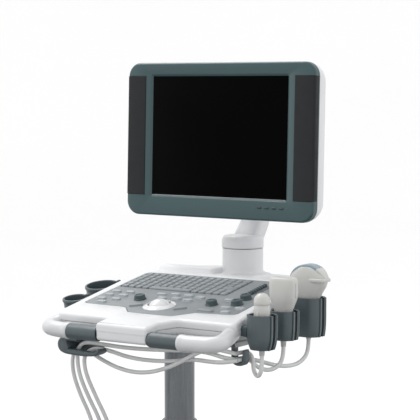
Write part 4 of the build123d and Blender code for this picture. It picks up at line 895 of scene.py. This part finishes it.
def add_band(bm, points, thickness, front, back):
    """A smooth strap along (x, z) points, from one y back to another, both in mm."""
    line = spline_points(metres((x, 0, z) for x, z in points))
    rings = []
    for index, here in enumerate(line):
        share = index / (len(line) - 1)
        ahead = direction(line, index)
        side = Vector((-ahead.z, 0, ahead.x))
        thick, rear = thickness(share), back(share)
        ring = rounded_ring(rear - front, thick, min(thick, rear - front) * 0.42, 5)
        rings.append([here + side * (v * MM) + Vector((0, (front + rear) / 2 + u, 0)) * MM for u, v in ring])
    add_loft(bm, rings)


def left_hook_back(share):
    """How far back the left hook's strap reaches: deep at its closed end and at its tip."""
    closed_end = min(1, max(0, (0.2 - abs(share - 0.3)) / 0.05))
    tip = min(1, max(0, (share - 0.72) / 0.2)) ** 1.5
    return -134 + 16.5 * closed_end + 13 * tip


bm = bmesh.new()
add_band(bm, [(-126, 781.5), (-146, 782), (-158, 780), (-166, 774), (-165, 763.5), (-156, 759),
              (-138, 757.5), (-112, 756.5), (-92, 757), (-80, 760), (-75.5, 765.5)],
         lambda share: 8.5 + 4 * sin(pi * min(1, share * 1.25)) - 2 * max(0, share - 0.75) / 0.25,
         -148.0, left_hook_back)
closed_wall = filleted([(-162, 779), (-165, 768), (-158, 760), (-146, 759.5), (-145, 766), (-148, 773),
                        (-150, 781)], [4, 8, 5, 2, 5, 6, 3], 4)
add_puck(bm, closed_wall, [(1, 119), (0, 120), (0, 146.6), (0.5, 147.6), (1.6, 148)], upright(turns="X"))
show("left_hook", bm, 40, "console", "slate", SLATE, "hook_left")
bm = bmesh.new()
guard = filleted([(-164, 774), (-160, 760), (-140, 755.5), (-96, 754.5), (-82, 761), (-84, 768), (-100, 775),
                  (-128, 783), (-156, 784)], [6, 8, 6, 8, 3, 6, 12, 12, 8], 4)
add_puck(bm, guard, [(0.6, 116.9), (0, 117.3), (0, 118), (0.6, 118.4)], upright(turns="X"))
show("left_hook_guard", bm, 40, "console", "slate", SLATE)
bm = bmesh.new()
add_puck(bm, rounded_ring(20, 20, 4, 5), [(1, 779), (0, 780), (0, 806)], upright(-138, -128, 0))
show("left_hook_post", bm, 40, "console", "slate", SLATE)

bm = bmesh.new()
add_band(bm, [(179.5, 788), (179.5, 772), (180.5, 763), (187, 760.3), (195, 760.3), (201.5, 763),
              (202.5, 772), (202.3, 785.5)],
         lambda share: 7 - 2.2 * max(0, share - 0.9) / 0.1, -98.0, lambda share: -82.0)
show("right_hook", bm, 40, "console", "slate", SLATE, "hook_right")
# The hollow rail that carries it
bm = bmesh.new()
section = rounded_ring(16, 9, 1.4, 3)
hollow = rounded_ring(11.5, 5, 0.8, 3)
add_loft(bm, [metres((175 + u * grow, run, 791.5 + v * grow) for u, v in ring) for ring, run, grow in (
    (section, -20, 1), (section, -91.4, 1), (section, -92, 0.94), (hollow, -92, 1), (hollow, -72, 1))])
show("hook_rail", bm, 30, "console", "column_paint", COLUMN_PAINT)
bm = bmesh.new()
add_puck(bm, rounded_ring(8, 46, 2, 3, (175, -56)), [(0, 795), (0, 814)], upright())
show("rail_hanger", bm, 40, "console", "column_paint", COLUMN_PAINT)


# --- Turret cap and monitor neck ---------------------------------------------------------

bm = bmesh.new()
cap = [(12, 926.9), (40.2, 926.9), (40.7, 927.1), (41, 927.6), (41, 930), (41, 940)]
cap += [(41 - inset, lift) for inset, lift in rounded_edge(10, 951, 7)[1:]] + [(20, 951.6), (2, 951.8)]
add_revolve(bm, cap, upright(0, TURRET_Y, 0), 72)
show("turret_cap", bm, 38, "monitor_arm", "white_shell", WHITE, "monitor_arm")
bm = bmesh.new()
add_revolve(bm, [(11.9, 884), (11.9, 927.2)], upright(0, TURRET_Y, 0), 32)
show("turret_spindle", bm, 38, "monitor_arm", "column_metal", STEEL)

# The neck leans back from the cap and rises to the tilt axle, as one lofted arm
front = spline_points(metres([(0, 212, 940), (0, 221, 953), (0, 236, 968), (0, 251, 990), (0, 257, 1016),
                              (0, 248, 1040), (0, 228, 1058)]), 8, 4)
rear = spline_points(metres([(0, 256, 936), (0, 268, 950), (0, 284, 970), (0, 296, 994), (0, 299, 1020),
                             (0, 288, 1050), (0, 267, 1072)]), 8, 4)
rings = []
for index, (fore, aft) in enumerate(zip(front, rear)):
    span = aft - fore
    width = (29.5 - 2.5 * sin(pi * min(1, index / (len(front) - 1) * 1.15))) * MM
    rings.append([(fore + aft) / 2 + span.normalized() * (v * (span.length / 2)) + Vector((u * width, 0, 0))
                  for u, v in superellipse(2, 2, 3.2, 48)])
bm = bmesh.new()
add_loft(bm, rings)
show("monitor_neck", bm, 45, "monitor_arm", "white_shell", WHITE)
bm = bmesh.new()
add_revolve(bm, [(6.2, 0), (20.5, 0), (22, 1.5), (22, 54.5), (20.5, 56), (6.2, 56)],
            upright(-28, TILT_Y, TILT_Z, "Y"))
show("tilt_barrel", bm, 38, "monitor_arm", "white_shell", WHITE)


# --- Monitor -----------------------------------------------------------------------------

BEZEL_WIDTH, BEZEL_HEIGHT, BEZEL_MIDDLE = 424.6, 297, (0, -7)


def build_bezel():
    """The teal frame round the screen, with a rolled outer edge and a sunk window."""
    bm = bmesh.new()
    levels = [(3, -13.6), (0.6, -13.6), (0, -12.8)] + rounded_edge(4.5, 3, 6)
    rim = add_puck(bm, rounded_ring(BEZEL_WIDTH, BEZEL_HEIGHT, 27, 12, BEZEL_MIDDLE), levels, on_screen(),
                   False, False)
    window = add_puck(bm, rounded_ring(306.6, 230.6, 1.2, 3),
                      [(-4.4, 3), (-3.6, 2.6), (-0.6, 0.6), (0, 0.2), (0, -6)], on_screen(), False, False)
    fill_between(bm, rim[-1], window[0])
    return bm


show("bezel_front", build_bezel(), 32, "monitor", "bezel_teal", BEZEL, "monitor_bezel")

# Screen, with the panel's frame behind its edge
bm = bmesh.new()
add_puck(bm, rounded_ring(307, 231, 0.6, 2), [(0, -8), (0, 0.1), (0.3, 0.25)], on_screen())
show("screen_glass", bm, 40, "monitor", "lcd", SCREEN, "lcd_panel")

# A pale lip under the screen
bm = bmesh.new()
add_puck(bm, rounded_ring(304, 1.5, 0.6, 3, (0, -115.4)), [(0, 0), (0, 0.9), (0.4, 1.2)], on_screen())
show("screen_lip", bm, 40, "monitor", "bezel_teal", BEZEL_LIP)

# The speaker covers at both sides wrap the bezel's edge, in a shallow recess
for side, name in ((-1, "left"), (1, "right")):
    low, high = 169.4, 211.6
    outline = [(low, 0), (low + 0.5, 0.9), (low + 1.5, 1.1), (high - 4.2, 1.1), (high - 1.6, 0.7),
               (high - 0.2, -0.4), (high + 0.7, -2.2), (high + 0.9, -4.5), (high + 0.9, -12.6)]
    rings = []
    for v in (-115.6, -115.0, 115.0, 115.6):
        drop = 0.7 if abs(v) > 115.2 else 0
        rings.append([on_screen() @ Vector((side * (u - drop * 0.6), v, 3 + h - drop)) for u, h in outline])
    bm = bmesh.new()
    add_loft(bm, rings, cap_first=False, cap_last=False, closed=False)
    show(f"speaker_cover_{name}", bm, 40, "monitor", "bezel_teal", GRILLE)
    # A dark joint line round the cover
    left, right = sorted((side * (low - 0.9), side * (high - 2)))
    bm = bmesh.new()
    add_puck(bm, [(left, -116.4), (right, -116.4), (right, 116.4), (left, 116.4)],
             [(0, 2.6), (0, 3.06), (0.2, 3.1)], on_screen())
    show(f"speaker_joint_{name}", bm, 40, "monitor", "bezel_teal", BEZEL_LINE)

# Buttons and a status lamp
bm = bmesh.new()
for button_u in (96, 112, 128, 144):
    add_puck(bm, rounded_ring(10, 4, 1.9, 5), [(0, -2), (0, 3.2), (0.3, 3.9), (0.9, 4.3), (1.6, 4.4)],
             on_screen(button_u, -131))
show("bezel_buttons", bm, 50, "monitor_buttons", "bezel_teal", BUTTON, "monitor_buttons")
bm = bmesh.new()
add_revolve(bm, [(1.5, 2.4), (1.5, 3.2), (1.1, 3.6), (0.4, 3.8)], on_screen(157, -131), 20)
show("status_lamp", bm, 50, "monitor", "bezel_teal", LAMP)


def build_monitor_back():
    """The white housing behind the bezel: a rim, drawn-in sides and a shallow dished back."""
    rings = []
    for inset, height in ((4, -12.6), (1.2, -12.6), (1.0, -13.2), (1.2, -20), (2.6, -30), (6, -42),
                          (10, -52), (14, -57.5), (20, -60.6), (28, -61.8), (40, -62), (44, -61),
                          (60, -60.4)):
        outline = rounded_ring(BEZEL_WIDTH - 2 * inset, BEZEL_HEIGHT - 2 * inset,
                               max(12, 27 - inset * 0.2), 12, BEZEL_MIDDLE)
        rings.append([on_screen() @ Vector((x, y, height)) for x, y in outline])
    bm = bmesh.new()
    add_loft(bm, rings, cap_first=False)
    return bm


show("monitor_back", build_monitor_back(), 40, "monitor", "white_shell", WHITE, "monitor_shell")
bm = bmesh.new()
for row in range(9):
    add_puck(bm, rounded_ring(150, 3.2, 1.5, 4), [(0, 59.6), (0, 60.9), (0.3, 61.0)],
             on_screen(0, 62 - 8 * row, 0) @ Matrix.Rotation(pi, 4, "Y"))
show("monitor_vents", bm, 40, "monitor", "black_plastic", SLATE_DARK)
bm = bmesh.new()
plate = rounded_ring(104, 76, 8, 6)
add_puck(bm, plate, [(0, 58)] + rounded_edge(2, 69, 4), on_screen(0, -79, 0) @ Matrix.Rotation(pi, 4, "Y"))
for ear in (-1, 1):
    ear_outline = filleted([(-28, 60), (28, 60), (14, 118), (-14, 118)], [3, 3, 13.5, 13.5], 8)
    rings = []
    for inset, reach in ((1.2, 28.6), (0, 29.6), (0, 35.8), (1.2, 37)):
        ring = metres((ear * reach, SCREEN_Y + b, TILT_Z + a) for a, b in inset_outline(ear_outline, inset))
        rings.append(ring if ear > 0 else list(reversed(ring)))
    add_loft(bm, rings)
show("monitor_mount", bm, 38, "monitor", "white_shell", WHITE)
bm = bmesh.new()
add_revolve(bm, [(3, 0), (8, 0), (9, 0.8), (9, 2.4), (6, 2.6), (6, 73.4), (9, 73.6), (9, 75.2),
                 (8, 76), (3, 76)], upright(-38, TILT_Y, TILT_Z, "Y"), 32)
show("tilt_pin", bm, 38, "monitor", "steel_box", STEEL)


# --- Column ------------------------------------------------------------------------------

bm = bmesh.new()
add_revolve(bm, [(24, 300), (28, 300), (28, 770), (28, 782)], upright(), 96)
show("lift_tube", bm, 40, "console", "column_metal", COLUMN_METAL, "inner_column")
bm = bmesh.new()
add_revolve(bm, [(28.1, 782), (41, 784), (43.4, 785), (44, 786.5), (44, 791.5), (28.1, 791.8)],
            upright(), 72)
show("column_head", bm, 40, "console", "slate", SLATE)


# --- Finishes of the CAD parts that are shown --------------------------------------------

FINISHES = {
    "base_frame": BASE_PAINT, "cabinet_shell": WHITE, "rear_panel": SLATE, "main_board": BOARD,
    "power_supply": STEEL, "outer_column": COLUMN_METAL, "fan_rotor": BLACK, "power_rocker": BLACK,
    "caster_fork_": CASTER_GREY, "caster_wheels_": TYRE, "brake_pedal_": PEDAL_GREEN,
    "probe_connector_": WHITE,
}
for node in NODES:
    shown = bpy.data.objects.get(node)
    if shown is None or shown.type != "MESH" or shown.hide_render:
        continue
    shown.data.materials.clear()
    shown.data.materials.append(next(FINISHES[start] for start in FINISHES if node.startswith(start)))
    edge = shown.modifiers.new("soft_edges", "BEVEL")
    edge.width, edge.segments, edge.limit_method, edge.angle_limit = 0.0006, 2, "ANGLE", radians(35)


# --- Floor, light ------------------------------------------------------------------------

def add_sweep():
    """A pale studio sweep: floor, a wide bend and a wall, with painted shade on the floor round the machine.
    """
    profile = [(-14, 0)] + [(11 + 4 * sin(radians(angle)), 4 - 4 * cos(radians(angle)))
                            for angle in range(0, 91, 6)] + [(15, 14)]
    bm = bmesh.new()
    rows = [[bm.verts.new((side, run, height)) for run, height in profile] for side in (-16, 16)]
    for index in range(len(profile) - 1):
        bm.faces.new((rows[0][index], rows[1][index], rows[1][index + 1], rows[0][index + 1]))
    mesh = finish_mesh("studio_sweep", bm, 80)
    piece = bpy.data.objects.new("studio_sweep", mesh)
    bpy.context.scene.collection.objects.link(piece)
    paper = Surface("seamless_paper", specular=0.1)
    paper.colour((250, 250, 250), 0.01, 0.4).roughness(0.9, 0.96, 2)
    paper.grain(300, 0.03, 0.0003)
    # Painted shade: the floor is darker round the machine, to cut the light bounced up on to its undersides
    paper.shade_middle((120, 120, 120), 1.4, 2.5)
    mesh.materials.append(paper.material)
    piece.rotation_euler = (0, 0, radians(CAMERA_TURN))


def add_light(name, size, energy, place, target, colour=(1, 1, 1)):
    """A soft rectangular light aimed at a point."""
    lamp = bpy.data.lights.new(name, "AREA")
    lamp.shape = "RECTANGLE"
    lamp.size, lamp.size_y = size
    lamp.energy = energy
    lamp.color = colour
    light = bpy.data.objects.new(name, lamp)
    light.location = place
    aim = Vector(target) - Vector(place)
    light.rotation_euler = aim.to_track_quat("-Z", "Y").to_euler()
    bpy.context.scene.collection.objects.link(light)


add_sweep()
add_light("overhead", (2.4, 0.8), 36, (-1.2, 0.25, 2.9), (0, 0, 0.9))
add_light("left_side", (1.2, 2.2), 8, (-2.4, -1.2, 1.7), (0, 0, 0.9))
add_light("right_rear", (1.4, 2.0), 8, (2.6, 1.6, 2.0), (0, 0.1, 0.95))

world = bpy.data.worlds.new("studio")
world.use_nodes = True
world.node_tree.nodes["Background"].inputs["Color"].default_value = (1, 1, 1, 1)
world.node_tree.nodes["Background"].inputs["Strength"].default_value = 1.06
bpy.context.scene.world = world
bpy.context.scene.view_settings.view_transform = "Standard"
bpy.context.scene.view_settings.look = "None"
